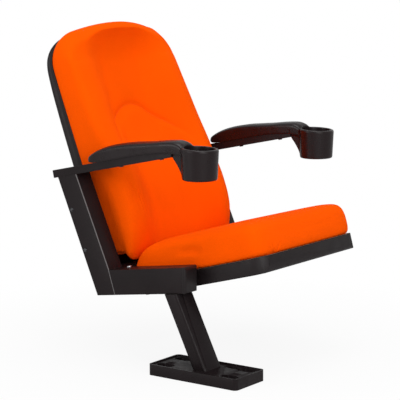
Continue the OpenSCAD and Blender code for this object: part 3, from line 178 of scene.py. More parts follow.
# Creases: how they fade to their ends, and how far around the narrow ones the cells are split
CREASE_FADE = 3.2
CREASE_END_SHARE = 0.15
CREASE_REACH = 0.020
SECOND_REACH_SHARE = 0.7
NARROW_CREASE = 0.004

# Arms: the steel bar, and the moulded armrest with its cup
BAR_FRONT = (0.0895, 0.5928)
BAR_RUN = 0.412
BAR_RISE = 11.9
BAR_T = 0.044
BAR_PLUMB = BAR_T / 2 / math.cos(math.radians(BAR_RISE))
BAR_W = 0.060
ARM_W = 0.066
ARM_CROWN = 0.006
ARM_TIP = 0.385
CUP_Y = 0.018
CUP_Z = 0.534
CUP_H = 0.082
CUP_FLOOR = 0.005
CUP_BASE_R = 0.0475
CUP_RIM_R = 0.051
CUP_EDGE = 0.005
WELL_R = 0.042
WELL_DRAUGHT = 2.0
NECK_W = 0.052
NECK_REACH = 0.033
NECK_FOOT = 0.004
NECK_SWEEP = 1.5
ARM_RUN_SHARES = [0.00, 0.03, 0.06, 0.10, 0.14, 0.24, 0.36, 0.48, 0.60, 0.72, 0.82, 0.90, 0.955, 0.985, 1.00]
ARM_TOP_SHARES = [0.68, 0.86, 1.24, 1.56, 1.72, 1.93, 2.09, 2.30, 2.50, 2.58, 2.50, 2.30, 2.05, 1.86, 1.62]
ARM_FOOT_SHARES = [-0.45, -0.22, 0.00, 0.20, 0.36, 0.60, 0.80, 0.86, 0.86, 0.86, 0.87, 0.94, 1.07, 1.22, 1.42]
ARM_WIDTH_SHARES = [0.90, 0.915, 0.93, 0.95, 0.97, 1.00, 1.00, 1.00, 1.00, 1.00, 1.00, 0.97, 0.90, 0.78, 0.60]
RIM_CLIMB = math.tan(math.radians(3.0))
CLIMB_STEEPNESS = 3.0
CLIMB_START = 1.6
ARM_ROOT_SHARE = 0.55
ARM_RINGS = 84
ARM_AROUND = 72
ARM_SIDE_SQUARE = 0.26
ARM_TOP_SQUARE = 0.30
ARM_FOOT_SQUARE = 0.15
ARM_CELL = 0.0014
ARM_RELAX = 5
WELL_OVERRUN = 0.03
BAR_ROOM = 0.0003

# Painted steel: the leans of its tubes, the rounding of what isn't a tube, and the share that end edges get
LEG_LEAN = 26.0
BOX_RISE = 7.8
UPRIGHT_LEAN = 23.3
FOOT_EDGE = 0.0024
FLANGE_EDGE = 0.0006
PAN_EDGE = 0.0008
TUBE_END_SHARE = 0.3
BOX_END_SHARE = 0.6
SHORT_EDGE = 3
# For the edges of the CAD's meshes, all of them: which bends are flat or sharp, and what runs along a tube
FLAT_BEND = 0.6
SHARP_BEND = 30.0
ALONG_SHARE = 0.995
MERGE_REACH = 2e-6
SAME_PLACE = 1e-6
# Painted highlight along the uprights' front edges: faces that look this way, by this share, get this lighter
# colour added to their paint
GLINT_WAY = (-0.75, -0.60, 0.25)
GLINT_SHARE = 0.80
PAINTED_GLINT_COLOUR = (0.12, 0.115, 0.115)

# Camera, as fitted to the photograph
CAMERA_PLACE = (-3.3777, -2.4403, 1.1146)
CAMERA_WAY = (0.7986, 0.6018)
CAMERA_PITCH = 8.638
CAMERA_ROLL = -0.383
CAMERA_SHIFT = (0.06595, 0.00125)
SENSOR_W = 36
# Lamps: name, place and size
LAMPS = (
    ("Key", (-2.0, -3.3, 2.2), 2.4),
    ("Fill", (-3.4, 1.9, 1.5), 2.0),
    ("Top", (0.2, 0.0, 3.8), 2.0),
)
LAMP_AIM = (MID_X, 0.2, 0.5)
FLOOR_MIDDLE = (0.3, 0.2)
FLOOR_R = 9.0
FLOOR_SIDES = 48
FLOOR_TONE = 0.66
# How white the floor looks beneath the object, and the distances between which it turns white
SHADE_MIDDLE = (0.25, 0.2, 0.0)
SHADE_WHITE = 0.90
SHADE_SPAN = (0.2, 1.1)


class SeatFinish(PropertyGroup):
    """Colours and surface scales of the seat."""

    fabric: FloatVectorProperty(
        name="Cloth", description="Colour of the upholstery cloth",
        subtype="COLOR", size=3, min=0, max=1, default=(0.985, 0.092, 0.0))
    steel: FloatVectorProperty(
        name="Powder coat", description="Colour of the painted steel",
        subtype="COLOR", size=3, min=0, max=1, default=(0.0090, 0.0054, 0.0060))
    plastic: FloatVectorProperty(
        name="Moulded plastic", description="Colour of the shell, the pan and the caps",
        subtype="COLOR", size=3, min=0, max=1, default=(0.0098, 0.0064, 0.0070))
    armrest: FloatVectorProperty(
        name="Armrests", description="Colour of the moulded armrests",
        subtype="COLOR", size=3, min=0, max=1, default=(0.0080, 0.0034, 0.0040))
    yarn: FloatProperty(
        name="Yarn spacing", description="Distance between two yarns of the cloth",
        unit="LENGTH", min=0.0004, max=0.004, default=0.0011)
    grain: FloatProperty(
        name="Grain", description="Size of the grain on moulded pieces",
        unit="LENGTH", min=0.0003, max=0.003, default=0.0008)


class SeatShape(PropertyGroup):
    """Sizes that shape the cushions and the edges of the hard pieces."""

    pressure: FloatProperty(
        name="Pressure", description="Pressure of the foam against the cloth",
        min=0, max=20, default=2.5)
    back_swell: FloatProperty(
        name="Back swell", description="Most that the cloth of the backrest may move as it swells",
        unit="LENGTH", min=0, max=0.02, default=0.0035)
    seat_swell: FloatProperty(
        name="Seat swell", description="Most that the cloth of the seat may move as it swells",
        unit="LENGTH", min=0, max=0.02, default=0.0035)
    calm: IntProperty(
        name="Calm", description="How many times the cloth's travel is evened out between its points",
        min=0, max=400, default=90)
    cloth_cell: FloatProperty(
        name="Cloth cell", description="Size of a cell of the cloth before it is subdivided",
        unit="LENGTH", min=0.004, max=0.012, default=0.006)
    seam_depth: FloatProperty(
        name="Seam depth", description="Depth of the arched seam in the backrest",
        unit="LENGTH", min=0, max=0.012, default=0.004)
    steel_edge: FloatProperty(
        name="Tube edge", description="Rounding of the long edges of the steel tubes",
        unit="LENGTH", min=0.0003, max=0.005, default=0.0022)
    moulded_edge: FloatProperty(
        name="Moulded edge", description="Rounding of the edges of the moulded pieces",
        unit="LENGTH", min=0.0003, max=0.004, default=0.0014)
    stitch: FloatProperty(
        name="Stitch", description="Length of one stitch of the arched seam",
        unit="LENGTH", min=0.001, max=0.008, default=0.0032)


class SeatStudio(PropertyGroup):
    """Light, floor and camera of the studio."""

    sky: FloatProperty(
        name="Sky", description="Strength of the even light from all round", min=0, max=3, default=0.60)
    key: FloatProperty(
        name="Key light", description="Power of the large lamp in front",
        unit="POWER", min=0, max=1000, default=84)
    fill: FloatProperty(
        name="Fill light", description="Power of the lamp on the near side",
        unit="POWER", min=0, max=1000, default=38)
    top: FloatProperty(
        name="Top light", description="Power of the lamp overhead",
        unit="POWER", min=0, max=1000, default=44)
    lens: FloatProperty(
        name="Lens", description="Focal length of the camera in millimetres", min=20, max=300, default=143.5)


def ease(t):
    """A smooth step from 0 to 1."""
    c = np.clip(t, 0, 1)
    return c * c * (3 - 2 * c)


def blend(a, b, t):
    return a + (b - a) * t


def signed_pow(v, p):
    """A power that keeps the sign, for the points of a squarish ring."""
    return np.sign(v) * np.abs(v) ** p


def smooth_table(table, t):
    """Value of a table at t from 0 to 1, on a curve through its entries."""
    p = np.asarray(table, float)
    p = np.concatenate([[2 * p[0] - p[1]], p, [2 * p[-1] - p[-2]]])
    at = np.clip(t, 0, 1) * (len(table) - 1)
    i = np.minimum(at.astype(int), len(table) - 2)
    f = at - i
    a, b, c, d = p[i], p[i + 1], p[i + 2], p[i + 3]
    return 0.5 * (2 * b + (c - a) * f + (2 * a - 5 * b + 4 * c - d) * f**2 + (3 * b - a - 3 * c + d) * f**3)


def round_off(place, square):
    """Share of the full height at a place from -1 to 1, falling to 0 at both ends."""
    return np.maximum(0, 1 - np.abs(place) ** (2 / square)) ** (square / 2)


def bar_floor_z(y):
    """Height of the arm bar's middle line at y."""
    return BAR_FRONT[1] - (y - BAR_FRONT[0]) * math.tan(math.radians(BAR_RISE))


# Frames of the backrest and of the seat

SPINE_TURN = math.radians(BACK_ROLL_TURN) / BACK_ROLL
LEAN = math.radians(BACK_LEAN)
ROLL_R = 1 / SPINE_TURN


def spine_lean(a):
    """Lean of the backrest at a, which grows less round the rolled top."""
    return LEAN - np.maximum(0, a - BACK_STRAIGHT) * SPINE_TURN


def back_point(x, a, d):
    """Point at x from the middle, a along the backrest and d in front of its spine."""
    lean = spine_lean(a)
    straight = np.minimum(a, BACK_STRAIGHT)
    rolled = a > BACK_STRAIGHT
    y = BACK_FOOT[0] + straight * math.sin(LEAN) - rolled * (math.cos(LEAN) - np.cos(lean)) * ROLL_R
    z = BACK_FOOT[1] + straight * math.cos(LEAN) - rolled * (np.sin(lean) - math.sin(LEAN)) * ROLL_R
    return np.stack([MID_X + x, y - d * np.cos(lean), z + d * np.sin(lean)], -1)


def back_place(p):
    """The reverse of back_point: x, a and d of points."""
    y = p[:, 1] - BACK_FOOT[0]
    z = p[:, 2] - BACK_FOOT[1]
    a = y * math.sin(LEAN) + z * math.cos(LEAN)
    d = z * math.sin(LEAN) - y * math.cos(LEAN)
    cy = y - BACK_STRAIGHT * math.sin(LEAN) + ROLL_R * math.cos(LEAN)
    cz = z - BACK_STRAIGHT * math.cos(LEAN) - ROLL_R * math.sin(LEAN)
    lean = np.arctan2(-cz, cy)
    rolled = a > BACK_STRAIGHT
    a = np.where(rolled, BACK_STRAIGHT + (LEAN - lean) / SPINE_TURN, a)
    d = np.where(rolled, ROLL_R - np.hypot(cy, cz), d)
    return p[:, 0] - MID_X, a, d


def back_half(a, half, length):
    """Half the width of the backrest's outline at a, with its rounded corners."""
    top = np.maximum(0, a - (length - BACK_TOP_R))
    foot = np.maximum(0, BACK_FOOT_R - a)
    return (half - BACK_TOP_R + np.sqrt(np.maximum(0, BACK_TOP_R**2 - top**2))
            - BACK_FOOT_R + np.sqrt(np.maximum(0, BACK_FOOT_R**2 - foot**2)))


def below_arch(x, a):
    """How far a place lies below the arched seam, along the backrest."""
    return ARCH_TOP - ARCH_DROP * (x / ARCH_HALF) ** 2 - a


def sheet_places(nu, nv):
    """Places across, -1 to 1, and along, 0 to 1, of nv + 1 rows of nu + 1 points, closest at the edges."""
    u = np.sin(np.radians(-90 + 180 * np.arange(nu + 1) / nu))
    v = (1 - np.cos(np.radians(180 * np.arange(nv + 1) / nv))) / 2
    return np.meshgrid(u, v)


def top_arch(place, t):
    """How far the backrest's outline rises in its middle, most at its top."""
    return TOP_ARCH * (1 - place**2) * ease(t) - TOP_ARCH / 2


def to_seat(p):
    """Points of the seat's own frame, with its rise, put in the row frame."""
    s, c = math.sin(math.radians(SEAT_RISE)), math.cos(math.radians(SEAT_RISE))
    return np.stack([MID_X + p[..., 0], PIVOT[0] + p[..., 1] * c + p[..., 2] * s,
                     PIVOT[1] - p[..., 1] * s + p[..., 2] * c], -1)


# Mesh tools

def new_piece(name, points, faces):
    """A smooth shaded object of that mesh, put in the scene."""
    data = bpy.data.meshes.new(name)
    data.from_pydata([tuple(map(float, p)) for p in points], [], faces)
    data.update()
    piece = bpy.data.objects.new(name, data)
    bpy.context.scene.collection.objects.link(piece)
    data.shade_smooth()
    return piece


def points_of(piece):
    co = np.empty(len(piece.data.vertices) * 3)
    piece.data.vertices.foreach_get("co", co)
    return co.reshape(-1, 3)


def move_points(piece, points):
    """Puts the points of a piece in new places."""
    piece.data.vertices.foreach_set("co", np.ascontiguousarray(points, float).ravel())
    piece.data.update()


def normals_of(piece):
    n = np.empty(len(piece.data.vertices) * 3)
    piece.data.vertices.foreach_get("normal", n)
    return n.reshape(-1, 3)


def settle(piece):
    """Applies every modifier of a piece to its mesh."""
    graph = bpy.context.evaluated_depsgraph_get()
    graph.update()
    data = bpy.data.meshes.new_from_object(piece.evaluated_get(graph))
    piece.modifiers.clear()
    old = piece.data
    piece.data = data
    bpy.data.meshes.remove(old)
    return piece


def face_outwards(piece):
    """Merges the doubled points of a closed piece and turns its faces outwards."""
    work = bmesh.new()
    work.from_mesh(piece.data)
    bmesh.ops.remove_doubles(work, verts=work.verts, dist=SAME_PLACE)
    bmesh.ops.recalc_face_normals(work, faces=work.faces)
    work.to_mesh(piece.data)
    work.free()
    piece.data.update()


def grid_faces(nu, nv, start=0, flip=False):
    """Faces of nv + 1 rows of nu + 1 points."""
    faces = []
    for j in range(nv):
        for i in range(nu):
            a = start + j * (nu + 1) + i
            quad = [a, a + 1, a + nu + 2, a + nu + 1]
            faces.append(quad[::-1] if flip else quad)
    return faces


def rim_places(nu, nv):
    """The places of a sheet's outer points, in their order round it."""
    row = nu + 1
    return ([i for i in range(nu)] + [j * row + nu for j in range(nv)]
            + [nv * row + i for i in range(nu, 0, -1)] + [j * row for j in range(nv, 0, -1)])


def two_sheets(name, front, rear, nu, nv):
    """A closed piece from a front and a rear sheet of nv + 1 rows of nu + 1 points."""
    total = (nu + 1) * (nv + 1)
    edge = rim_places(nu, nv)
    faces = grid_faces(nu, nv) + grid_faces(nu, nv, total, True)
    for k, a in enumerate(edge):
        b = edge[(k + 1) % len(edge)]
        faces.append([b, a, total + a, total + b])
    piece = new_piece(name, np.concatenate([front.reshape(-1, 3), rear.reshape(-1, 3)]), faces)
    face_outwards(piece)
    return piece


def ring_loft(name, rings):
    """A closed piece through rings of the same number of points."""
    count, n = len(rings), len(rings[0])
    faces = [list(range(n))[::-1], list(range((count - 1) * n, count * n))]
    for i in range(count - 1):
        for k in range(n):
            a, b = i * n + k, i * n + (k + 1) % n
            faces.append([a, b, b + n, a + n])
    piece = new_piece(name, np.concatenate(rings), faces)
    face_outwards(piece)
    return piece


def turned(name, profile, centre, sides=96):
    """A closed piece turned about an upright axis from (radius, height) points that start and end on it."""
    points = [(centre[0], centre[1], centre[2] + profile[0][1])]
    for r, z in profile[1:-1]:
        for k in range(sides):
            angle = 2 * math.pi * k / sides
            points.append((centre[0] + r * math.cos(angle), centre[1] + r * math.sin(angle), centre[2] + z))
    points.append((centre[0], centre[1], centre[2] + profile[-1][1]))
    last = len(points) - 1
    faces = []
    for k in range(sides):
        m = (k + 1) % sides
        faces.append([0, 1 + m, 1 + k])
        for j in range(len(profile) - 3):
            a = 1 + j * sides
            faces.append([a + k, a + m, a + sides + m, a + sides + k])
        a = 1 + (len(profile) - 3) * sides
        faces.append([a + k, a + m, last])
    piece = new_piece(name, points, faces)
    face_outwards(piece)
    return piece


def side_slab(name, width, outline):
    """A slab of that width along X, centred at x 0, from an outline of (y, z) points."""
    n = len(outline)
    points = [(side * width / 2, y, z) for side in (-1, 1) for y, z in outline]
    faces = [list(range(n)), list(range(n, 2 * n))[::-1]]
    faces += [[k, n + k, n + (k + 1) % n, (k + 1) % n] for k in range(n)]
    piece = new_piece(name, points, faces)
    face_outwards(piece)
    return piece


def combine(piece, other, operation):
    """Joins a piece with another or cuts it by the other, which is used up."""
    cut = piece.modifiers.new("Cut", "BOOLEAN")
    cut.operation = operation
    cut.solver = "EXACT"
    cut.object = other
    settle(piece)
    bpy.data.objects.remove(other)


def remesh(piece, cell):
    """Makes the mesh of a closed piece anew from cells of one size."""
    voxels = piece.modifiers.new("Cells", "REMESH")
    voxels.mode = "VOXEL"
    voxels.voxel_size = cell
    voxels.use_smooth_shade = True
    settle(piece)


def relax(piece, times):
    """Draws each point towards its neighbours a number of times."""
    smooth = piece.modifiers.new("Relax", "SMOOTH")
    smooth.iterations = times
    smooth.factor = 0.5
    settle(piece)


def dress(piece, slot, body, node, made=None):
    """Gives a finished piece its finish and its body, and puts it in the place of a CAD node."""
    if not piece.data.materials:
        piece.data.materials.append(finish(made or slot))
    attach(piece, body)
    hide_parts(node)


def merged_copy(node, name):
    """A copy of a CAD node's mesh with its triangles merged into plain faces."""
    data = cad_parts[node].data.copy()
    data.name = name
    work = bmesh.new()
    work.from_mesh(data)
    bmesh.ops.remove_doubles(work, verts=work.verts, dist=MERGE_REACH)
    bmesh.ops.dissolve_limit(work, angle_limit=math.radians(FLAT_BEND), verts=work.verts, edges=work.edges)
    work.to_mesh(data)
    work.free()
    for layer in list(data.uv_layers):
        data.uv_layers.remove(layer)
    data.materials.clear()
    data.update()
    piece = bpy.data.objects.new(name, data)
    bpy.context.scene.collection.objects.link(piece)
    return piece


def edged(node, name, width, along=None, end_share=TUBE_END_SHARE, least=0.0):
    """A copy of a CAD node with rounded edges.

    Edges that don't run along the given direction get a share of the width, and edges shorter than the least
    length stay sharp.
    """
    piece = merged_copy(node, name)
    data = piece.data
    co = points_of(piece)
    ends = np.empty(len(data.edges) * 2, int)
    data.edges.foreach_get("vertices", ends)
    ends = ends.reshape(-1, 2)
    run = co[ends[:, 1]] - co[ends[:, 0]]
    length = np.linalg.norm(run, axis=1)
    weights = np.ones(len(data.edges))
    if along is not None:
        weights[np.abs(run @ np.array(along)) < ALONG_SHARE * length] = end_share
    weights[length < least] = 0
    data.shade_smooth()
    work = bmesh.new()
    work.from_mesh(data)
    layer = work.edges.layers.float.new("bevel_weight_edge")
    work.edges.ensure_lookup_table()
    for edge in work.edges:
        bends = len(edge.link_faces) == 2 and edge.calc_face_angle(0) > math.radians(SHARP_BEND)
        edge[layer] = weights[edge.index] if bends else 0.0
        edge.smooth = not bends or edge[layer] > 0
    work.to_mesh(data)
    work.free()
    bevel = piece.modifiers.new("Edges", "BEVEL")
    bevel.width = width
    bevel.segments = 3
    bevel.limit_method = "WEIGHT"
    bevel.harden_normals = True
    bevel.use_clamp_overlap = True
    bevel.miter_outer = "MITER_ARC"
    return settle(piece)


def paint_glint(piece, way):
    """Marks the faces that look a given way, where a highlight is painted into the colour."""
    looks = np.empty(len(piece.data.polygons) * 3)
    piece.data.polygons.foreach_get("normal", looks)
    way = np.array(way) / np.linalg.norm(way)
    worn = piece.data.attributes.new("worn", "FLOAT", "FACE")
    worn.data.foreach_set("value", (looks.reshape(-1, 3) @ way > GLINT_SHARE).astype(np.float32))


# Finishes

def start_finish(name, colour, roughness, **sockets):
    """A new material with its tree, its shader and its own coordinates."""
    material = bpy.data.materials.new(name)
    material.use_nodes = True
    tree = material.node_tree
    shader = tree.nodes["Principled BSDF"]
    shader.inputs["Base Color"].default_value = (*colour, 1)
    shader.inputs["Roughness"].default_value = roughness
    for socket, value in sockets.items():
        shader.inputs[socket.replace("_", " ")].default_value = value
    coords = tree.nodes.new("ShaderNodeTexCoord")
    return material, tree, shader, coords.outputs["Object"]


def put(tree, kind, *inputs, **settings):
    """Adds a node. Inputs are given in order: a socket is linked, a number is set and None is left."""
    made = tree.nodes.new(kind)
    for name, value in settings.items():
        setattr(made, name, value)
    for socket, value in zip(made.inputs, inputs):
        if value is None:
            continue
        if isinstance(value, bpy.types.NodeSocket):
            tree.links.new(value, socket)
        else:
            socket.default_value = value
    return made


def sums(tree, operation, a, b=None):
    """The result of a sum of one or two values."""
    return put(tree, "ShaderNodeMath", a, b, operation=operation).outputs[0]


def noise(tree, coords, scale, detail, roughness=0.5):
    """Smooth noise, with its scale in waves a metre."""
    made = tree.nodes.new("ShaderNodeTexNoise")
    tree.links.new(coords, made.inputs["Vector"])
    made.inputs["Scale"].default_value = scale
    made.inputs["Detail"].default_value = detail
    made.inputs["Roughness"].default_value = roughness
    return made.outputs["Fac"]


def spread(tree, value, low, high, from_low=0.3, from_high=0.7):
    """Maps a value, a noise's usual span unless another is given, onto low to high."""
    made = tree.nodes.new("ShaderNodeMapRange")
    tree.links.new(value, made.inputs["Value"])
    for name, number in (("From Min", from_low), ("From Max", from_high), ("To Min", low), ("To Max", high)):
        made.inputs[name].default_value = number
    return made.outputs["Result"]


def shade(tree, shader, colour, factor):
    """Links the base colour to a colour times a factor."""
    made = put(tree, "ShaderNodeVectorMath", tuple(colour), operation="SCALE")
    tree.links.new(factor, made.inputs["Scale"])
    tree.links.new(made.outputs["Vector"], shader.inputs["Base Color"])


def relief(tree, shader, height, distance, strength, under=None):
    """Lets a height bend the light on the surface, over the relief under it if one is given."""
    made = tree.nodes.new("ShaderNodeBump")
    made.inputs["Strength"].default_value = strength
    made.inputs["Distance"].default_value = distance
    tree.links.new(height, made.inputs["Height"])
    if under is not None:
        tree.links.new(under, made.inputs["Normal"])
    tree.links.new(made.outputs["Normal"], shader.inputs["Normal"])
    return made.outputs["Normal"]


def powder_coat(name, colour):
    """Painted steel, with a painted highlight added to its colour on the faces that a piece marks for it."""
    material, tree, shader, coords = start_finish(name, colour, 0.5, Specular_IOR_Level=0.17)
    # Painted highlight: the marked faces get a lighter colour added to the paint
    worn = tree.nodes.new("ShaderNodeAttribute")
    worn.attribute_name = "worn"
    glint_colour = put(tree, "ShaderNodeVectorMath", PAINTED_GLINT_COLOUR, operation="SCALE")
    tree.links.new(worn.outputs["Fac"], glint_colour.inputs["Scale"])
    paint = put(tree, "ShaderNodeVectorMath", tuple(colour), operation="SCALE")
    tree.links.new(spread(tree, noise(tree, coords, 14, 4), 0.88, 1.14), paint.inputs["Scale"])
    both = put(
        tree, "ShaderNodeVectorMath", paint.outputs["Vector"], glint_colour.outputs["Vector"], operation="ADD")
    tree.links.new(both.outputs["Vector"], shader.inputs["Base Color"])
    rough = spread(tree, noise(tree, coords, 60, 3), 0.36, 0.50)
    tree.links.new(rough, shader.inputs["Roughness"])
    peel = relief(tree, shader, noise(tree, coords, 700, 2), 0.00012, 0.5)
    relief(tree, shader, noise(tree, coords, 2600, 1), 0.00006, 0.6, peel)
    return material


def moulded(name, colour, grain, roughness, depth, shine):
    """Grained plastic: shallow cells with a finer grain on them."""
    material, tree, shader, coords = start_finish(name, colour, roughness, Specular_IOR_Level=shine)
    shade(tree, shader, colour, spread(tree, noise(tree, coords, 9, 3), 0.90, 1.12))
    rough = spread(tree, noise(tree, coords, 35, 4), roughness - 0.06, roughness + 0.08)
    tree.links.new(rough, shader.inputs["Roughness"])
    cells = tree.nodes.new("ShaderNodeTexVoronoi")
    tree.links.new(coords, cells.inputs["Vector"])
    cells.inputs["Scale"].default_value = 1 / grain
    first = relief(tree, shader, cells.outputs["Distance"], depth, 0.5)
    relief(tree, shader, noise(tree, coords, 2.2 / grain, 2), depth * 0.6, 0.5, first)
    return material


def cloth(name, colour, yarn):
    """Close-knit cloth: crossed yarns, laid in the two directions that lie most along each face."""
    material, tree, shader, coords = start_finish(
        name, colour, 0.86, Sheen_Weight=0.08, Sheen_Roughness=0.5, Sheen_Tint=(1.0, 0.25, 0.0, 1.0),
        Specular_IOR_Level=0.02)
    wander = put(tree, "ShaderNodeVectorMath", operation="SCALE")
    tangle = tree.nodes.new("ShaderNodeTexNoise")
    tree.links.new(coords, tangle.inputs["Vector"])
    tangle.inputs["Scale"].default_value = 120
    tree.links.new(tangle.outputs["Color"], wander.inputs[0])
    wander.inputs["Scale"].default_value = yarn * 1.4
    drifted = put(tree, "ShaderNodeVectorMath", coords, wander.outputs["Vector"], operation="ADD")
    parts = put(tree, "ShaderNodeSeparateXYZ", drifted.outputs["Vector"])
    waves = []
    for k in range(3):
        turn = sums(tree, "MULTIPLY", parts.outputs[k], 2 * math.pi / yarn)
        waves.append(sums(tree, "SINE", turn))
    face = put(tree, "ShaderNodeSeparateXYZ", tree.nodes["Texture Coordinate"].outputs["Normal"])
    height = None
    for k in range(3):
        weave = sums(tree, "MULTIPLY", waves[(k + 1) % 3], waves[(k + 2) % 3])
        share = sums(tree, "ABSOLUTE", face.outputs[k])
        part = sums(tree, "MULTIPLY", weave, share)
        height = part if height is None else sums(tree, "ADD", height, part)
    broad = spread(tree, noise(tree, coords, 7, 3), 0.96, 1.04)
    fine = spread(tree, noise(tree, coords, 900, 2), 0.93, 1.06)
    # Painted shade: the cloth is darker where the weave lies low, between its yarns
    weave_shade = spread(tree, height, 0.90, 1.03, -1.0, 1.0)
    shade(tree, shader, colour, sums(tree, "MULTIPLY", sums(tree, "MULTIPLY", broad, fine), weave_shade))
    weave_relief = relief(tree, shader, height, 0.00016, 0.55)
    relief(tree, shader, noise(tree, coords, 2200, 2), 0.00010, 0.4, weave_relief)
    return material


def bare_metal(name, colour, roughness, streak):
    """Bare or plated metal with fine streaks."""
    material, tree, shader, coords = start_finish(name, colour, roughness, Metallic=1.0)
    shade(tree, shader, colour, spread(tree, noise(tree, coords, 180, 4), 0.86, 1.08))
    rough = spread(tree, noise(tree, coords, 420, 3), roughness - 0.08, roughness + 0.12)
    tree.links.new(rough, shader.inputs["Roughness"])
    relief(tree, shader, noise(tree, coords, streak, 2), 0.00004, 0.4)
    return material


def plain_plastic(name, colour, roughness, scale):
    """Plain nylon, rubber or thread with a faint relief."""
    material, tree, shader, coords = start_finish(name, colour, roughness)
    shade(tree, shader, colour, spread(tree, noise(tree, coords, scale / 20, 3), 0.92, 1.06))
    relief(tree, shader, noise(tree, coords, scale, 2), 0.00005, 0.4)
    return material


def plywood(name, colour, lean):
    """Board of thin plies, with long grain on its faces and the plies across its thickness."""
    ply_t = 0.0031
    material, tree, shader, coords = start_finish(name, colour, 0.62)
    turned_coords = put(tree, "ShaderNodeMapping", coords, None, (math.radians(lean), 0, 0))
    parts = put(tree, "ShaderNodeSeparateXYZ", turned_coords.outputs["Vector"])
    stretched = put(tree, "ShaderNodeMapping", turned_coords.outputs["Vector"], None, None, (1.0, 0.08, 1.0))
    grain = noise(tree, stretched.outputs["Vector"], 220, 5, 0.6)
    ply = sums(tree, "SINE", sums(tree, "MULTIPLY", parts.outputs["Z"], 2 * math.pi / ply_t))
    tone = sums(tree, "MULTIPLY", spread(tree, grain, 0.78, 1.12), spread(tree, ply, 0.86, 1.06, -1, 1))
    shade(tree, shader, colour, tone)
    relief(tree, shader, grain, 0.0002, 0.35)
    return material


WOOD = (0.52, 0.34, 0.18)
THREAD_TONE = 0.62
FINISHES = {}


def finish(name):
    """The finish of that name, made once."""
    if name not in FINISHES:
        look = bpy.context.scene.seat_finish
        makers = {
            "powder_coat": (powder_coat, look.steel),
            "black_plastic": (moulded, look.plastic, look.grain, 0.46, 0.00010, 0.24),
            "armrest_plastic": (moulded, look.armrest, look.grain * 0.6, 0.29, 0.00004, 0.27),
            "orange_fabric": (cloth, look.fabric, look.yarn),
            "zinc": (bare_metal, (0.62, 0.63, 0.65), 0.32, 1500),
            "black_zinc": (bare_metal, (0.09, 0.09, 0.095), 0.34, 1500),
            "spring_steel": (bare_metal, (0.30, 0.31, 0.33), 0.38, 2500),
            "nylon": (plain_plastic, (0.78, 0.76, 0.70), 0.42, 900),
            "rubber": (plain_plastic, (0.018, 0.018, 0.018), 0.78, 1600),
            "back_plywood": (plywood, WOOD, 90 - BACK_LEAN),
            "seat_plywood": (plywood, WOOD, SEAT_RISE),
            "thread": (plain_plastic, tuple(THREAD_TONE * c for c in look.fabric), 0.7, 3000),
        }
        maker, *values = makers[name]
        FINISHES[name] = maker(name, *values)
    return FINISHES[name]


def refinish(node, made):
    """Gives a CAD node, whose shape stays, a better material."""
    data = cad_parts[node].data
    data.materials.clear()
    data.materials.append(finish(made))


# Soft pieces

def swell(piece, pressure, most, hold, calm):
    """Blows a closed cloth up, with each point held by a share from 0 to 1.

    No point ends further than most from its place, and the small wrinkles are evened out.
    """
    rest = points_of(piece)
    group = piece.vertex_groups.new(name="hold")
    steps = np.round(np.clip(hold, 0, 1), 2)
    for level in np.unique(steps):
        if level > 0:
            group.add([int(i) for i in np.nonzero(steps == level)[0]], float(level), "REPLACE")
    fabric = piece.modifiers.new("Cloth", "CLOTH")
    fabric.settings.quality = 4
    fabric.settings.mass = 0.3
    fabric.settings.tension_stiffness = 20
    fabric.settings.compression_stiffness = 12
    fabric.settings.shear_stiffness = 6
    fabric.settings.bending_stiffness = 4.0
    fabric.settings.use_pressure = True
    fabric.settings.uniform_pressure_force = pressure
    fabric.settings.effector_weights.gravity = 0
    fabric.settings.vertex_group_mass = "hold"
    fabric.collision_settings.use_collision = False
    fabric.point_cache.frame_start = 1
    fabric.point_cache.frame_end = CLOTH_FRAMES
    scene = bpy.context.scene
    for step in range(1, CLOTH_FRAMES + 1):
        scene.frame_set(step)
    graph = bpy.context.evaluated_depsgraph_get()
    moved = piece.evaluated_get(graph).to_mesh()
    co = np.empty(rest.size)
    moved.vertices.foreach_get("co", co)
    shift = co.reshape(-1, 3) - rest
    piece.modifiers.clear()
    piece.vertex_groups.clear()
    scene.frame_set(1)
    ends = np.empty(len(piece.data.edges) * 2, int)
    piece.data.edges.foreach_get("vertices", ends)
    one, other = ends.reshape(-1, 2).T
    count = len(rest)
    links = np.bincount(one, None, count) + np.bincount(other, None, count)
    for _ in range(calm):
        near = [np.bincount(one, shift[other, k], count) + np.bincount(other, shift[one, k], count)
                for k in range(3)]
        shift = blend(shift, np.stack(near, -1) / links[:, None], 0.5)
    length = np.maximum(np.linalg.norm(shift, axis=1, keepdims=True), 1e-9)
    move_points(piece, rest + shift / length * most * np.tanh(length / most))


def follow(piece, rest, shift):
    """Moves each point of a piece as the nearest points of a trial cloth moved."""
    tree = KDTree(len(rest))
    for k, place in enumerate(rest):
        tree.insert(place, k)
    tree.balance()
    points = points_of(piece)
    moved = [shift[[found[1] for found in tree.find_n(place, 4)]].mean(axis=0) for place in points]
    move_points(piece, points + np.array(moved))


def finer(piece):
    """Splits each face in four on a smooth surface."""
    subdivided = piece.modifiers.new("Finer", "SUBSURF")
    subdivided.levels = 1
    subdivided.render_levels = 1
    settle(piece)


def press_line(points, normals, line, width, depth):
    """Presses a line of points into a surface, deepest at its middle and fading at its ends."""
    line = np.asarray(line, float)
    run = np.concatenate([[0], np.cumsum(np.linalg.norm(np.diff(line, axis=0), axis=1))])
    best = np.full(len(points), 1e9)
    where = np.zeros(len(points))
    for k in range(len(line) - 1):
        a, b = line[k], line[k + 1]
        ab = b - a
        t = np.clip((points - a) @ ab / (ab @ ab), 0, 1)
        gap = np.linalg.norm(points - a - t[:, None] * ab, axis=1)
        near = gap < best
        best[near] = gap[near]
        where[near] = (run[k] + t[near] * (run[k + 1] - run[k])) / run[-1]
    fade = ease(np.minimum(where, 1 - where) * CREASE_FADE)
    push = depth * np.exp(-((best / width) ** 2)) * blend(CREASE_END_SHARE, 1, fade)
    return points - normals * push[:, None]


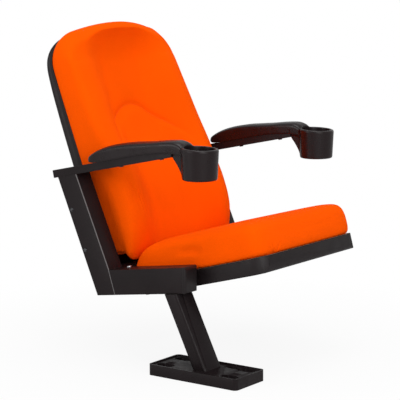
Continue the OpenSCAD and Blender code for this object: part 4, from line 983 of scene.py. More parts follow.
def back_cushion_form(inset):
    """The backrest's padding as a closed piece, drawn in by the inset."""
    place, t = sheet_places(*BACK_GRID)
    row = t * BACK_L

    def sheet(draw, rear):
        half = back_half(row, BACK_W / 2, BACK_L) - draw
        x = half * place
        hold = np.where(row < ARCH_TOP, row / ARCH_TOP, (BACK_L - row) / (BACK_L - ARCH_TOP))
        sunk = ARCH_DROP * np.minimum(1, (x / ARCH_HALF) ** 2) * hold
        a = draw + (BACK_L - 2 * draw) * t + top_arch(place, t) - sunk
        if rear:
            depth = np.full_like(a, BACK_REAR_DEPTH)
        else:
            at = a / BACK_L
            centre = smooth_table(CENTRE_SHARES, at) * CENTRE_T
            bolster = smooth_table(BOLSTER_SHARES, at) * BOLSTER_T
            side = ease((np.abs(x) - CENTRE_HALF) / BOLSTER_SWEEP)
            below = below_arch(x, a)
            face = blend(centre, bolster, side)
            face = face + LUMBAR_RISE * ease(below / ARCH_SOFT / 2) * (1 - side)
            face = face - ARCH_DIP * np.exp(-((below / ARCH_SOFT) ** 2)) * (1 - side)
            full = round_off(place, BACK_SQUARE) * round_off(2 * t - 1, BACK_SQUARE)
            depth = blend(BACK_RIM_DEPTH, face, full) - inset
        drop = HANG_DROP * ease((depth - HANG_DEPTH) / HANG_SOFT) * ease(1 - a / BOLSTER_T)
        return back_point(x, a - drop, depth)

    front, rear = sheet(inset, False), sheet(BACK_REAR_INSET + inset, True)
    return two_sheets("back_cushion_cover", front, rear, *BACK_GRID)


def seat_cushion_form(inset):
    """The seat's padding as a closed piece, drawn in by the inset."""
    at = np.linspace(0, 1, SEAT_RINGS)
    drawn = smooth_table(SEAT_INSET_SHARES, at) * SEAT_ROUND + inset
    height = SEAT_BASE + smooth_table(SEAT_HEIGHT_SHARES, at) * (SEAT_T - inset)
    angle = 2 * np.pi * np.arange(SEAT_AROUND) / SEAT_AROUND
    square = np.where(np.cos(angle) > 0, SEAT_REAR_SQUARE, SEAT_FRONT_SQUARE)
    across = signed_pow(np.sin(angle), square)
    along = (1 - signed_pow(np.cos(angle), square)) / 2
    rings = []
    for d, z in zip(drawn, height):
        drawn_rear = d * ease((z - SEAT_BASE) / SEAT_REAR_RISE)
        rear = math.sqrt(SEAT_REAR_R**2 - z**2) - drawn_rear * SEAT_REAR_SHARE
        half = SEAT_W / 2 - SEAT_SIDE_GAP - blend(d, drawn_rear, along)
        front = -(SEAT_FRONT - d)
        ring = np.stack([half * across, blend(front, rear, along), np.full(SEAT_AROUND, z)], -1)
        rings.append(to_seat(ring))
    return ring_loft("seat_cushion_cover", rings)


# Creases as lines on the cloth, each with its width and depth
BACK_CREASES = [
    ([(0.097, 0.307, 0.487), (0.098, 0.296, 0.459), (0.100, 0.288, 0.427), (0.105, 0.281, 0.399)],
     0.0030, 0.0030),
    ([(0.112, 0.308, 0.481), (0.112, 0.296, 0.450), (0.122, 0.291, 0.417), (0.131, 0.287, 0.388)],
     0.0032, 0.0028),
    ([(0.075, 0.320, 0.513), (0.080, 0.307, 0.482), (0.084, 0.295, 0.448), (0.090, 0.285, 0.413)],
     0.0060, 0.0032),
]
SEAT_CREASES = [
    ([(0.047, 0.138, 0.318), (0.047, 0.106, 0.328), (0.047, 0.085, 0.332), (0.046, 0.060, 0.333),
      (0.046, 0.040, 0.331)], 0.0120, 0.0060),
    ([(0.106, -0.143, 0.376), (0.112, -0.146, 0.354), (0.118, -0.144, 0.334)], 0.0028, 0.0028),
    ([(0.086, -0.141, 0.362), (0.100, -0.146, 0.348), (0.116, -0.144, 0.332)], 0.0028, 0.0026),
    ([(0.147, -0.145, 0.369), (0.131, -0.147, 0.352), (0.120, -0.144, 0.333)], 0.0028, 0.0026),
]


def denser(piece, creases):
    """Splits the cells near the narrow creases twice, so that the mesh can follow them."""
    for reach in (CREASE_REACH, CREASE_REACH * SECOND_REACH_SHARE):
        points = points_of(piece)
        near = np.zeros(len(points), bool)
        for line, width, _ in creases:
            if width < NARROW_CREASE:
                for place in np.asarray(line):
                    near |= np.linalg.norm(points - place, axis=1) < reach
        work = bmesh.new()
        work.from_mesh(piece.data)
        edges = [e for e in work.edges if near[e.verts[0].index] and near[e.verts[1].index]]
        bmesh.ops.subdivide_edges(work, edges=edges, cuts=1, use_grid_fill=True)
        work.to_mesh(piece.data)
        work.free()
    piece.data.shade_smooth()


def tuck_flaps(points):
    """Sinks the flap at each side of the backrest's foot and presses in the fold before it."""
    x, a, d = back_place(points)
    fold = smooth_table(FOLD_DEPTHS, a / FOLD_L)
    low = ease((FOLD_L + FLAP_END - a) / FLAP_END_SOFT)
    side = ease((np.abs(x) - BACK_W / 2 + FLAP_REACH) / FLAP_REACH_SOFT) * low
    flap = ease((fold - d) / FLAP_SOFT + 0.5)
    crease = np.exp(-(((d - fold) / FOLD_W) ** 2))
    moved = points.copy()
    moved[:, 0] -= np.sign(x) * side * (FLAP_SINK * flap + FOLD_SINK * crease)
    return moved


def seam_groove(points, depth):
    """How deep the arched seam is pressed in at each point of the backrest's cloth."""
    x, a, d = back_place(points)
    groove = depth * np.exp(-np.abs(below_arch(x, a) / SEAM_HALF) ** SEAM_POWER)
    reach = 1 - ease((np.abs(x) - ARCH_HALF * SEAM_FADE_SHARE) / (ARCH_HALF * SEAM_FADE_SPAN))
    return groove * reach * ease((d - SEAM_FRONT) / SEAM_FRONT_SOFT)


class SEAT_OT_back_cushion(Operator):
    """Makes the upholstered backrest with its bolsters and arched seam"""

    bl_idname = "seat.back_cushion"
    bl_label = "Back cushion"

    def execute(self, context):
        shape = context.scene.seat_shape
        piece = back_cushion_form(shape.back_swell * SWELL_SHARE)
        # The even cells of a trial swell best, and the piece itself keeps the grid of its outline
        trial = back_cushion_form(shape.back_swell * SWELL_SHARE)
        remesh(trial, shape.cloth_cell)
        rest = points_of(trial)
        x, a, d = back_place(rest)
        seam = np.exp(-((below_arch(x, a) / SEAM_HOLD_HALF) ** 2)) * (np.abs(x) < ARCH_HALF)
        seam *= d > SEAM_FRONT
        hold = np.maximum(ease((HOLD_DEPTH - d) / BACK_HOLD_SOFT), SEAM_HOLD * seam)
        swell(trial, shape.pressure, shape.back_swell, hold, shape.calm)
        follow(piece, rest, points_of(trial) - rest)
        bpy.data.meshes.remove(trial.data)
        finer(piece)
        denser(piece, BACK_CREASES)
        points = points_of(piece)
        normals = normals_of(piece)
        points = points - normals * seam_groove(points, shape.seam_depth)[:, None]
        for line, width, depth in BACK_CREASES:
            points = press_line(points, normals, line, width, depth)
        move_points(piece, tuck_flaps(points))
        dress(piece, "orange_fabric", "frame", "back_cushion")
        return {"FINISHED"}


class SEAT_OT_seat_cushion(Operator):
    """Makes the upholstered seat cushion"""

    bl_idname = "seat.seat_cushion"
    bl_label = "Seat cushion"

    def execute(self, context):
        shape = context.scene.seat_shape
        piece = seat_cushion_form(shape.seat_swell * SWELL_SHARE)
        remesh(piece, shape.cloth_cell)
        rest = points_of(piece)
        rise = math.radians(SEAT_RISE)
        back, up = rest[:, 1] - PIVOT[0], rest[:, 2] - PIVOT[1]
        height = back * math.sin(rise) + up * math.cos(rise) - SEAT_BASE
        hold = ease((HOLD_DEPTH - height) / SEAT_HOLD_SOFT)
        swell(piece, shape.pressure, shape.seat_swell, hold, shape.calm)
        finer(piece)
        denser(piece, SEAT_CREASES)
        points = points_of(piece)
        normals = normals_of(piece)
        for line, width, depth in SEAT_CREASES:
            points = press_line(points, normals, line, width, depth)
        move_points(piece, points)
        dress(piece, "orange_fabric", "seat", "seat_cushion")
        return {"FINISHED"}


# Moulded pieces

QUARTER = np.radians(np.linspace(0, 90, 7))


def arm_form():
    """The crowned arm from the cup to its thin rear end, at x 0."""
    root = CUP_Y + CUP_RIM_R * ARM_ROOT_SHARE
    at = np.linspace(0, 1, ARM_RINGS)
    tables = (ARM_RUN_SHARES, ARM_TOP_SHARES, ARM_FOOT_SHARES, ARM_WIDTH_SHARES)
    angle = 2 * np.pi * (np.arange(ARM_AROUND) + 0.5) / ARM_AROUND
    square = np.where(np.sin(angle) > 0, ARM_TOP_SQUARE, ARM_FOOT_SQUARE)
    rings = []
    for run, top, foot, width in zip(*(smooth_table(table, at) for table in tables)):
        y = root + run * (ARM_TIP - root)
        low, high = bar_floor_z(y) + foot * BAR_PLUMB, bar_floor_z(y) + top * BAR_PLUMB
        half = ARM_W / 2 * width
        tall = (high - low) / 2
        x = half * signed_pow(np.cos(angle), ARM_SIDE_SQUARE)
        lift = tall * signed_pow(np.sin(angle), square)
        crown = np.where(lift > 0, ARM_CROWN * width * (1 - (x / half) ** 2) * lift / tall, 0)
        rings.append(np.stack([x, np.full(ARM_AROUND, y), (low + high) / 2 + lift + crown], -1))
    return ring_loft("near_armrest_moulding", rings)


def rounded_foot(radius):
    """The rounded corner between a flat floor of a turned piece and its side, as (radius, height) points."""
    return [(radius - CUP_EDGE + CUP_EDGE * math.sin(t), CUP_EDGE - CUP_EDGE * math.cos(t)) for t in QUARTER]


def cup_form():
    """The cup's outside with its climbing rim, still without its well."""
    rim = [(CUP_RIM_R - CUP_EDGE + CUP_EDGE * math.cos(t), CUP_H - CUP_EDGE + CUP_EDGE * math.sin(t))
           for t in QUARTER]
    cup = turned("cup", [(0, 0), *rounded_foot(CUP_BASE_R), *rim, (0, CUP_H)], (0, CUP_Y, CUP_Z))
    co = points_of(cup)
    climb = (co[:, 1] - CUP_Y + CUP_RIM_R) * RIM_CLIMB
    co[:, 2] += climb * ease((co[:, 2] - CUP_Z) / CUP_H * CLIMB_STEEPNESS - CLIMB_START)
    move_points(cup, co)
    return cup


def neck_form():
    """The web that sweeps from the foot of the cup up to the arm."""
    leave = CUP_Y + math.sqrt(CUP_BASE_R**2 - NECK_W**2 / 4)
    foot = CUP_Z + NECK_FOOT
    top = CUP_Z + CUP_H - CUP_EDGE
    under = bar_floor_z(leave + NECK_REACH)
    outline = [(CUP_Y, foot)]
    outline += [(leave + NECK_REACH * t**NECK_SWEEP, blend(foot, under, t)) for t in np.linspace(0, 1, 13)]
    outline += [(leave + NECK_REACH, top), (CUP_Y, top)]
    return side_slab("neck", NECK_W, outline)


def well_form():
    """The tapered room for the drink, which is cut out of the cup."""
    depth = CUP_H - CUP_FLOOR
    floor_r = WELL_R - depth * math.tan(math.radians(WELL_DRAUGHT))
    mouth = [(WELL_R, depth), (WELL_R, depth + WELL_OVERRUN), (0, depth + WELL_OVERRUN)]
    return turned("well", [(0, 0), *rounded_foot(floor_r), *mouth], (0, CUP_Y, CUP_Z + CUP_FLOOR))


def bar_room_form():
    """The room that the arm bar takes under the armrest."""
    front = BAR_FRONT[0] - BAR_ROOM
    rear = BAR_FRONT[0] + BAR_RUN
    slot = [(front, bar_floor_z(BAR_FRONT[0]) - BAR_PLUMB), (rear, bar_floor_z(rear) - BAR_PLUMB)]
    slot += [(y, bar_floor_z(y) + BAR_PLUMB + BAR_ROOM) for y in (rear, front)]
    return side_slab("bar_room", BAR_W + 4 * BAR_ROOM, slot)


def armrest_form():
    """One armrest at x 0: the arm, the cup and the neck between them, melted into one."""
    arm = arm_form()
    combine(arm, cup_form(), "UNION")
    combine(arm, neck_form(), "UNION")
    combine(arm, well_form(), "DIFFERENCE")
    combine(arm, bar_room_form(), "DIFFERENCE")
    remesh(arm, ARM_CELL)
    relax(arm, ARM_RELAX)
    return arm


class SEAT_OT_armrests(Operator):
    """Makes the two moulded armrests with their cup holders"""

    bl_idname = "seat.armrests"
    bl_label = "Armrests"

    def execute(self, context):
        near = armrest_form()
        far = bpy.data.objects.new("far_armrest_moulding", near.data.copy())
        context.scene.collection.objects.link(far)
        move_points(far, points_of(far) + np.array([2 * MID_X, 0, 0]))
        dress(near, "armrest_plastic", "frame", "near_armrest")
        dress(far, "armrest_plastic", "frame", "far_armrest")
        return {"FINISHED"}


def shell_depth(place, t):
    """Depth of the shell's outer skin behind the spine."""
    rounding = round_off(place, SHELL_SQUARE) * round_off(2 * t - 1, SHELL_SQUARE)
    return SHELL_SEAM + smooth_table(SHELL_SHARES, t) * (SHELL_T - SHELL_SEAM) * rounding


def shell_sheet(wall):
    """Outer skin of the rear shell, or its inner skin a wall further in."""
    place, t = sheet_places(*SHELL_GRID)
    a = blend(wall - SHELL_DROP, SHELL_L - wall, t) + top_arch(place, t)
    half = back_half(t * SHELL_L, BACK_W / 2 - SHELL_INSET, SHELL_L) - wall
    depth = np.maximum(shell_depth(place, t) - wall, SHELL_SEAM)
    depth[0], depth[-1], depth[:, 0], depth[:, -1] = SHELL_SEAM, SHELL_SEAM, SHELL_SEAM, SHELL_SEAM
    return back_point(half * place, a, -depth)


def behind_board(piece, x, a):
    """Puts a piece made at the origin on the rear of the board, with its Z towards the cushion."""
    base = back_point(x, a, BOARD_REAR)
    s, c = math.sin(LEAN), math.cos(LEAN)
    p = points_of(piece)
    y = base[1] + p[:, 1] * s - p[:, 2] * c
    z = base[2] + p[:, 1] * c + p[:, 2] * s
    move_points(piece, np.stack([base[0] + p[:, 0], y, z], -1))
    face_outwards(piece)
    return piece


def boss_and_bore(side, share):
    """A screw's boss from the shell's skin to the board, and the stepped bore that is cut through it."""
    reach = float(shell_depth(np.array(SHELL_SCREW_SIDE), np.array(share))) + BOARD_REAR
    foot = SHELL_WALL / 2 - reach
    boss = [(0, foot), (BOSS_R, foot), (BOSS_R, 0), (0, 0)]
    mouth = -reach - MOUTH_OVERRUN
    bore = [(0, mouth), (BORE_MOUTH_R, mouth), (BORE_R, -reach + MOUTH_DEPTH), (BORE_R, -BORE_END),
            (SHANK_BORE_R, -BORE_END), (SHANK_BORE_R, BORE_OVERRUN), (0, BORE_OVERRUN)]
    x, a = side * SHELL_SCREW_SIDE * (BACK_W / 2 - SHELL_INSET), share * SHELL_L
    return [behind_board(turned(name, profile, (0, 0, 0), BORE_SIDES), x, a)
            for name, profile in (("boss", boss), ("bore", bore))]


def tongue_slot(side, place):
    """The cut through the shell's side for a bracket's tongue."""
    half, front, rear = TONGUE_W / 2 + TONGUE_ROOM, TONGUE_ROOM, -TONGUE_T - TONGUE_ROOM
    slot = side_slab("slot", SLOT_W, [(-half, rear), (half, rear), (half, front), (-half, front)])
    return behind_board(slot, side * (BOARD_HALF - TONGUE_LAP + SLOT_W / 2), place)


class SEAT_OT_back_shell(Operator):
    """Makes the moulded rear shell of the backrest, with its screw bosses and the brackets' slots"""

    bl_idname = "seat.back_shell"
    bl_label = "Back shell"

    def execute(self, context):
        piece = two_sheets("back_shell_moulding", shell_sheet(0), shell_sheet(SHELL_WALL), *SHELL_GRID)
        cuts = []
        for share in SHELL_SCREW_SHARES:
            for side in (-1, 1):
                boss, bore = boss_and_bore(side, share)
                combine(piece, boss, "UNION")
                cuts.append(bore)
        for place in TONGUE_PLACES:
            for side in (-1, 1):
                cuts.append(tongue_slot(side, place))
        for cut in cuts:
            combine(piece, cut, "DIFFERENCE")
        dress(piece, "black_plastic", "frame", "back_shell")
        return {"FINISHED"}


# Small metal pieces

def islands(node):
    """Points of each separate solid of a CAD node."""
    work = bmesh.new()
    work.from_mesh(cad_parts[node].data)
    bmesh.ops.remove_doubles(work, verts=work.verts, dist=MERGE_REACH)
    work.verts.ensure_lookup_table()
    seen, found = set(), []
    for start in work.verts:
        if start.index in seen:
            continue
        seen.add(start.index)
        stack, group = [start], []
        while stack:
            point = stack.pop()
            group.append(tuple(point.co))
            for edge in point.link_edges:
                other = edge.other_vert(point)
                if other.index not in seen:
                    seen.add(other.index)
                    stack.append(other)
        found.append(np.array(group))
    work.free()
    return found


# For telling a screw's head from its shank: points this near to an end, and this share of the widest
END_REACH = 1e-4
HEAD_SHARE = 0.97
# The hexagon socket: its width as a share of the head's, and its depth, half of it within the head
SOCKET_SHARE = 0.42
SOCKET_DEEP = 1.2


def screw_places(node):
    """For each screw of a CAD node: the point under its head, the way that the head looks, and its sizes."""
    found = []
    for co in islands(node):
        middle = (co.min(0) + co.max(0)) / 2
        values, ways = np.linalg.eigh(np.cov((co - co.mean(0)).T))
        pick = min(range(3), key=lambda k: abs(values[(k + 1) % 3] - values[(k + 2) % 3]))
        axis = ways[:, pick]
        along = (co - middle) @ axis
        away = np.linalg.norm(co - middle - along[:, None] * axis, axis=1)
        if away[along > along.max() - END_REACH].max() < away[along < along.min() + END_REACH].max():
            axis, along = -axis, -along
        head_r = away.max()
        shank = away < head_r * HEAD_SHARE
        under = along[away > head_r * HEAD_SHARE].min()
        found.append((middle + axis * under, axis, {
            "Head radius": float(head_r), "Head height": float(along.max() - under),
            "Shank radius": float(away[shank].max()), "Length": float(under - along.min())}))
    return found


def socket_number(tree, name):
    """The identifier of a tree's named input."""
    return next(item.identifier for item in tree.interface.items_tree
                if item.item_type == "SOCKET" and item.in_out == "INPUT" and item.name == name)


def start_tree(name, sizes):
    """A node tree for a mesh, named sizes and a material, with its inputs and a helper that adds a node."""
    tree = bpy.data.node_groups.new(name, "GeometryNodeTree")
    face = tree.interface
    face.new_socket("Geometry", in_out="INPUT", socket_type="NodeSocketGeometry")
    for size, value in sizes.items():
        socket = face.new_socket(size, in_out="INPUT", socket_type="NodeSocketFloat")
        socket.subtype = "DISTANCE"
        socket.default_value = value
    face.new_socket("Material", in_out="INPUT", socket_type="NodeSocketMaterial")
    face.new_socket("Geometry", in_out="OUTPUT", socket_type="NodeSocketGeometry")

    def part(kind, **values):
        made = tree.nodes.new(kind)
        for size, value in values.items():
            socket = made.inputs[size.replace("_", " ")]
            if isinstance(value, bpy.types.NodeSocket):
                tree.links.new(value, socket)
            else:
                socket.default_value = value
        return made

    return tree, tree.nodes.new("NodeGroupInput").outputs, part


def end_tree(tree, given, part, places, form, turns):
    """Puts a form on each place with its turn, as real faces in the given material."""
    placed = part("GeometryNodeInstanceOnPoints", Points=places, Instance=form, Rotation=turns)
    real = part("GeometryNodeRealizeInstances", Geometry=placed.outputs["Instances"])
    coat = part("GeometryNodeSetMaterial", Geometry=real.outputs["Geometry"], Material=given["Material"])
    tree.links.new(coat.outputs["Geometry"], tree.nodes.new("NodeGroupOutput").inputs["Geometry"])
    return tree


def vector(tree, x, y, z):
    """A vector put together from three values."""
    return put(tree, "ShaderNodeCombineXYZ", x, y, z).outputs[0]


def screw_tree():
    """Nodes that put a domed screw with a hexagon socket on each point, looking along the point's axis."""
    tree, given, part = start_tree(
        "Screws", {"Head radius": 0.006, "Head height": 0.003, "Shank radius": 0.003, "Length": 0.02})
    r, h, length = given["Head radius"], given["Head height"], given["Length"]

    def times(a, b):
        return sums(tree, "MULTIPLY", a, b)

    ball = part("GeometryNodeMeshUVSphere", Segments=32, Rings=16, Radius=1.0)
    dome = part("GeometryNodeTransform", Geometry=ball.outputs["Mesh"], Scale=vector(tree, r, r, h))
    cube = part("GeometryNodeMeshCube", Size=vector(tree, times(r, 3.0), times(r, 3.0), times(h, 2.0)))
    below = part("GeometryNodeTransform", Geometry=cube.outputs["Mesh"],
                 Translation=vector(tree, 0.0, 0.0, times(h, -1.0)))
    hexagon = part("GeometryNodeMeshCylinder", Vertices=6, Radius=times(r, SOCKET_SHARE),
                   Depth=times(h, SOCKET_DEEP))
    socket_cut = part("GeometryNodeTransform", Geometry=hexagon.outputs["Mesh"],
                      Translation=vector(tree, 0.0, 0.0, h))
    head = tree.nodes.new("GeometryNodeMeshBoolean")
    head.operation = "DIFFERENCE"
    tree.links.new(dome.outputs["Geometry"], head.inputs["Mesh 1"])
    tree.links.new(below.outputs["Geometry"], head.inputs["Mesh 2"])
    tree.links.new(socket_cut.outputs["Geometry"], head.inputs["Mesh 2"])
    rod = part("GeometryNodeMeshCylinder", Vertices=24, Radius=given["Shank radius"], Depth=length)
    shank = part("GeometryNodeTransform", Geometry=rod.outputs["Mesh"],
                 Translation=vector(tree, 0.0, 0.0, times(length, -0.5)))
    whole = tree.nodes.new("GeometryNodeJoinGeometry")
    tree.links.new(head.outputs["Mesh"], whole.inputs[0])
    tree.links.new(shank.outputs["Geometry"], whole.inputs[0])
    axis = tree.nodes.new("GeometryNodeInputNamedAttribute")
    axis.data_type = "FLOAT_VECTOR"
    axis.inputs["Name"].default_value = "axis"
    turn = tree.nodes.new("FunctionNodeAlignRotationToVector")
    turn.axis = "Z"
    tree.links.new(axis.outputs["Attribute"], turn.inputs["Vector"])
    return end_tree(tree, given, part, given["Geometry"], whole.outputs["Geometry"], turn.outputs["Rotation"])


def stitch_tree():
    """Nodes that lay stitches along a line."""
    tree, given, part = start_tree("Stitches", {"Stitch": 0.003, "Gap": 0.001, "Thread radius": 0.0004})
    line = part("GeometryNodeMeshToCurve", Mesh=given["Geometry"])
    points = tree.nodes.new("GeometryNodeCurveToPoints")
    points.mode = "LENGTH"
    tree.links.new(line.outputs["Curve"], points.inputs["Curve"])
    tree.links.new(sums(tree, "ADD", given["Stitch"], given["Gap"]), points.inputs["Length"])
    half = sums(tree, "MULTIPLY", given["Stitch"], 0.5)
    ball = part("GeometryNodeMeshUVSphere", Segments=8, Rings=6, Radius=1.0)
    stitch = part("GeometryNodeTransform", Geometry=ball.outputs["Mesh"],
                  Scale=vector(tree, given["Thread radius"], given["Thread radius"], half))
    return end_tree(
        tree, given, part, points.outputs["Points"], stitch.outputs["Geometry"], points.outputs["Rotation"])


def grow(piece, tree, values):
    """Runs a node tree on a piece with its named inputs set, and keeps the result as a plain mesh."""
    made = piece.modifiers.new(tree.name, "NODES")
    made.node_group = tree
    for name, value in values.items():
        made[socket_number(tree, name)] = value
    settle(piece)
    piece.data.shade_smooth()
    return piece


class SEAT_OT_screws(Operator):
    """Puts a socket head screw in the place of each screw of the frame"""

    bl_idname = "seat.screws"
    bl_label = "Screws"

    def execute(self, context):
        tree = screw_tree()
        for node, made, body, rise in SCREWS:
            places = screw_places(node)
            data = bpy.data.meshes.new(node)
            data.from_pydata([tuple(p) for p, _, _ in places], [], [])
            axis = data.attributes.new("axis", "FLOAT_VECTOR", "POINT")
            axis.data.foreach_set("vector", np.array([a for _, a, _ in places]).ravel())
            piece = bpy.data.objects.new(node + "_heads", data)
            context.scene.collection.objects.link(piece)
            sizes = places[0][2]
            sizes["Head height"] *= rise
            grow(piece, tree, {**sizes, "Material": finish(made)})
            dress(piece, "zinc", body, node, made)
        return {"FINISHED"}


# CAD node, finish, body and share of the head's height
SCREWS = [
    ("back_bolts", "black_zinc", "frame", 1.0),
    ("cross_bolts", "black_zinc", "frame", 1.0),
    ("armrest_screws", "black_zinc", "frame", 0.4),
    ("board_screws", "zinc", "frame", 1.0),
    ("shell_screws", "black_zinc", "frame", 1.0),
    ("box_screw", "zinc", "frame", 1.0),
    ("bracket_screws", "zinc", "seat", 1.0),
    ("pan_screws", "black_zinc", "seat", 1.0),
]


def slope(degrees):
    """The way along a tube that rises by that angle towards the rear."""
    return (0, math.cos(math.radians(degrees)), math.sin(math.radians(degrees)))


class SEAT_OT_steel(Operator):
    """Rounds the edges of the painted steel: foot, leg, hinge boxes, uprights, arm bars and cross tube"""

    bl_idname = "seat.steel"
    bl_label = "Steel"

    def execute(self, context):
        edge = context.scene.seat_shape.steel_edge
        pieces = [
            ("foot_plate", FOOT_EDGE, None),
            ("leg_tube", edge, slope(90 - LEG_LEAN)),
            ("near_hinge_box", edge, slope(-BOX_RISE)),
            ("far_hinge_box", edge, slope(-BOX_RISE)),
            ("near_upright", edge, slope(90 - UPRIGHT_LEAN)),
            ("far_upright", edge, slope(90 - UPRIGHT_LEAN)),
            ("near_arm_bar", edge, slope(-BAR_RISE)),
            ("far_arm_bar", edge, slope(-BAR_RISE)),
            ("cross_tube", edge, (1, 0, 0)),
        ]
        for node, width, along in pieces:
            end_share = BOX_END_SHARE if "box" in node else TUBE_END_SHARE
            piece = edged(node, node + "_steel", width, along, end_share, SHORT_EDGE * width)
            # The uprights get a highlight painted along their front edges
            if "upright" in node:
                paint_glint(piece, GLINT_WAY)
            dress(piece, "powder_coat", "frame", node)
        for node in ("near_cross_flange", "far_cross_flange"):
            dress(edged(node, node + "_steel", FLANGE_EDGE), "powder_coat", "frame", node)
        return {"FINISHED"}


class SEAT_OT_caps(Operator):
    """Rounds the edges of the moulded caps and of the seat's pan"""

    bl_idname = "seat.caps"
    bl_label = "Caps and pan"

    def execute(self, context):
        edge = context.scene.seat_shape.moulded_edge
        for node in ("near_box_cap", "far_box_cap", "arm_bar_caps"):
            dress(edged(node, node + "_moulding", edge), "black_plastic", "frame", node)
        pan = edged("seat_pan", "seat_pan_moulding", PAN_EDGE)
        dress(pan, "black_plastic", "seat", "seat_pan")
        return {"FINISHED"}


class SEAT_OT_stitches(Operator):
    """Lays the stitches of the arched seam"""

    bl_idname = "seat.stitches"
    bl_label = "Stitches"

    def execute(self, context):
        shape = context.scene.seat_shape
        cover = bpy.data.objects["back_cushion_cover"].data
        skin = BVHTree.FromPolygons(
            [v.co.copy() for v in cover.vertices], [tuple(p.vertices) for p in cover.polygons])
        x = np.linspace(-ARCH_HALF, ARCH_HALF, SEAM_STEPS)
        x = x[np.abs(x) < ARCH_HALF * STITCHED_SHARE]
        arch = below_arch(x, 0)
        line = []
        for start, end in zip(back_point(x, arch, RAY_START), back_point(x, arch, 0.0)):
            place, normal, _, _ = skin.ray_cast(Vector(start), Vector(end - start).normalized())
            if place is not None:
                line.append(place + normal * STITCH_LIFT)
        data = bpy.data.meshes.new("arch_stitches")
        data.from_pydata([tuple(p) for p in line], [(k, k + 1) for k in range(len(line) - 1)], [])
        piece = bpy.data.objects.new("arch_stitches", data)
        context.scene.collection.objects.link(piece)
        grow(piece, stitch_tree(), {
            "Stitch": shape.stitch, "Gap": shape.stitch * STITCH_GAP_SHARE,
            "Thread radius": shape.stitch * THREAD_SHARE, "Material": finish("thread")})
        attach(piece, "frame")
        return {"FINISHED"}


class SEAT_OT_inner_pieces(Operator):
    """Gives the hinge, spring, stop and board pieces of the frame their finishes"""

    bl_idname = "seat.inner_pieces"
    bl_label = "Inner pieces"

    def execute(self, context):
        for node, made in INNER_PIECES:
            refinish(node, made)
        return {"FINISHED"}


# CAD node and finish
INNER_PIECES = [
    ("back_board", "back_plywood"),
    ("seat_board", "seat_plywood"),
    ("back_brackets", "powder_coat"),
    ("pivot_bushes", "nylon"),
    ("near_return_spring", "spring_steel"),
    ("far_return_spring", "spring_steel"),
    ("stop_buffers", "rubber"),
    ("near_pivot_pin", "zinc"),
    ("far_pivot_pin", "zinc"),
    ("stop_pins", "zinc"),
    ("near_hinge_bracket", "powder_coat"),
    ("far_hinge_bracket", "powder_coat"),
]


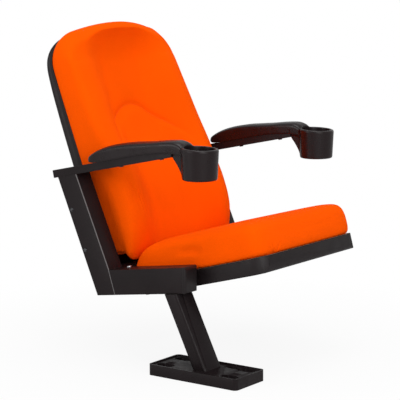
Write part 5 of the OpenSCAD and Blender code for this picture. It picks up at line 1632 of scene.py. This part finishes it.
class SEAT_OT_stage(Operator):
    """Sets the camera, the floor, the lamps and the white ground"""

    bl_idname = "seat.stage"
    bl_label = "Stage"

    def execute(self, context):
        scene = context.scene
        studio = scene.seat_studio
        scene.view_settings.view_transform = "Standard"
        self.camera(scene, studio)
        self.ground(scene, studio)
        for name, place, size in LAMPS:
            lamp = bpy.data.lights.new(name, "AREA")
            lamp.shape = "SQUARE"
            lamp.size = size
            lamp.energy = getattr(studio, name.lower())
            holder = bpy.data.objects.new(name, lamp)
            holder.location = place
            way = Vector(LAMP_AIM) - Vector(place)
            holder.rotation_euler = way.to_track_quat("-Z", "Y").to_euler()
            scene.collection.objects.link(holder)
        return {"FINISHED"}

    def camera(self, scene, studio):
        """The camera of the photograph."""
        data = bpy.data.cameras.new("Camera")
        data.lens = studio.lens
        data.sensor_width = SENSOR_W
        data.shift_x, data.shift_y = CAMERA_SHIFT
        holder = bpy.data.objects.new("Camera", data)
        pitch = math.radians(CAMERA_PITCH)
        level = math.cos(pitch)
        way = Vector((CAMERA_WAY[0] * level, CAMERA_WAY[1] * level, -math.sin(pitch)))
        turn = way.to_track_quat("-Z", "Y").to_matrix().to_4x4()
        holder.matrix_world = turn @ Matrix.Rotation(math.radians(CAMERA_ROLL), 4, "Z")
        holder.location = CAMERA_PLACE
        scene.collection.objects.link(holder)
        scene.camera = holder

    def ground(self, scene, studio):
        """Even light from all round, white to the camera, and the floor."""
        world = bpy.data.worlds.new("Studio")
        world.use_nodes = True
        scene.world = world
        tree = world.node_tree
        tree.nodes.clear()
        path = tree.nodes.new("ShaderNodeLightPath")
        strength = spread(tree, path.outputs["Is Camera Ray"], studio.sky, 1.0, 0.0, 1.0)
        back = tree.nodes.new("ShaderNodeBackground")
        back.inputs["Color"].default_value = (1, 1, 1, 1)
        tree.links.new(strength, back.inputs["Strength"])
        end = tree.nodes.new("ShaderNodeOutputWorld")
        tree.links.new(back.outputs[0], end.inputs["Surface"])

        x, y = FLOOR_MIDDLE
        turns = [2 * math.pi * k / FLOOR_SIDES for k in range(FLOOR_SIDES)]
        points = [(x, y, 0.0)]
        points += [(x + FLOOR_R * math.cos(t), y + FLOOR_R * math.sin(t), 0.0) for t in turns]
        faces = [[0, 1 + k, 1 + (k + 1) % FLOOR_SIDES] for k in range(FLOOR_SIDES)]
        floor = new_piece("floor", points, faces)
        floor.data.materials.append(self.floor_finish())

    def floor_finish(self):
        """Pale floor: plain where the object stands, and as white as the ground further off."""
        material = bpy.data.materials.new("pale_floor")
        material.use_nodes = True
        tree = material.node_tree
        tree.nodes.clear()
        coords = tree.nodes.new("ShaderNodeTexCoord")
        distance = put(
            tree, "ShaderNodeVectorMath", coords.outputs["Object"], SHADE_MIDDLE, operation="DISTANCE")
        far = spread(tree, distance.outputs["Value"], SHADE_WHITE, 1.0, *SHADE_SPAN)
        path = tree.nodes.new("ShaderNodeLightPath")
        share = sums(tree, "MULTIPLY", far, path.outputs["Is Camera Ray"])
        plain = put(tree, "ShaderNodeBsdfDiffuse", (FLOOR_TONE, FLOOR_TONE, FLOOR_TONE, 1))
        white = put(tree, "ShaderNodeEmission", (1, 1, 1, 1), 1.0)
        mixed = put(tree, "ShaderNodeMixShader", share, plain.outputs[0], white.outputs[0])
        end = tree.nodes.new("ShaderNodeOutputMaterial")
        tree.links.new(mixed.outputs[0], end.inputs["Surface"])
        return material


class SEAT_PT_maker(Panel):
    """Lists the makers of the seat's pieces and their sizes and colours"""

    bl_idname = "SEAT_PT_maker"
    bl_label = "Tip up seat"
    bl_space_type = "VIEW_3D"
    bl_region_type = "UI"
    bl_category = "Seat"

    def draw(self, context):
        layout = self.layout
        for maker in MAKERS:
            layout.operator(maker.bl_idname)
        for group in (context.scene.seat_finish, context.scene.seat_shape, context.scene.seat_studio):
            for name in group.__annotations__:
                layout.prop(group, name)


MAKERS = (
    SEAT_OT_stage, SEAT_OT_steel, SEAT_OT_caps, SEAT_OT_armrests, SEAT_OT_back_shell, SEAT_OT_back_cushion,
    SEAT_OT_seat_cushion, SEAT_OT_stitches, SEAT_OT_screws, SEAT_OT_inner_pieces)
GROUPS = (("seat_finish", SeatFinish), ("seat_shape", SeatShape), ("seat_studio", SeatStudio))


def register():
    for name, group in GROUPS:
        bpy.utils.register_class(group)
        setattr(bpy.types.Scene, name, PointerProperty(type=group))
    for maker in MAKERS:
        bpy.utils.register_class(maker)
    bpy.utils.register_class(SEAT_PT_maker)


def unregister():
    bpy.utils.unregister_class(SEAT_PT_maker)
    for maker in reversed(MAKERS):
        bpy.utils.unregister_class(maker)
    for name, group in reversed(GROUPS):
        delattr(bpy.types.Scene, name)
        bpy.utils.unregister_class(group)


def main():
    register()
    bpy.ops.seat.stage()
    bpy.ops.seat.steel()
    bpy.ops.seat.caps()
    bpy.ops.seat.armrests()
    bpy.ops.seat.back_shell()
    bpy.ops.seat.back_cushion()
    bpy.ops.seat.seat_cushion()
    bpy.ops.seat.stitches()
    bpy.ops.seat.screws()
    bpy.ops.seat.inner_pieces()


if __name__ == "__main__":
    main()
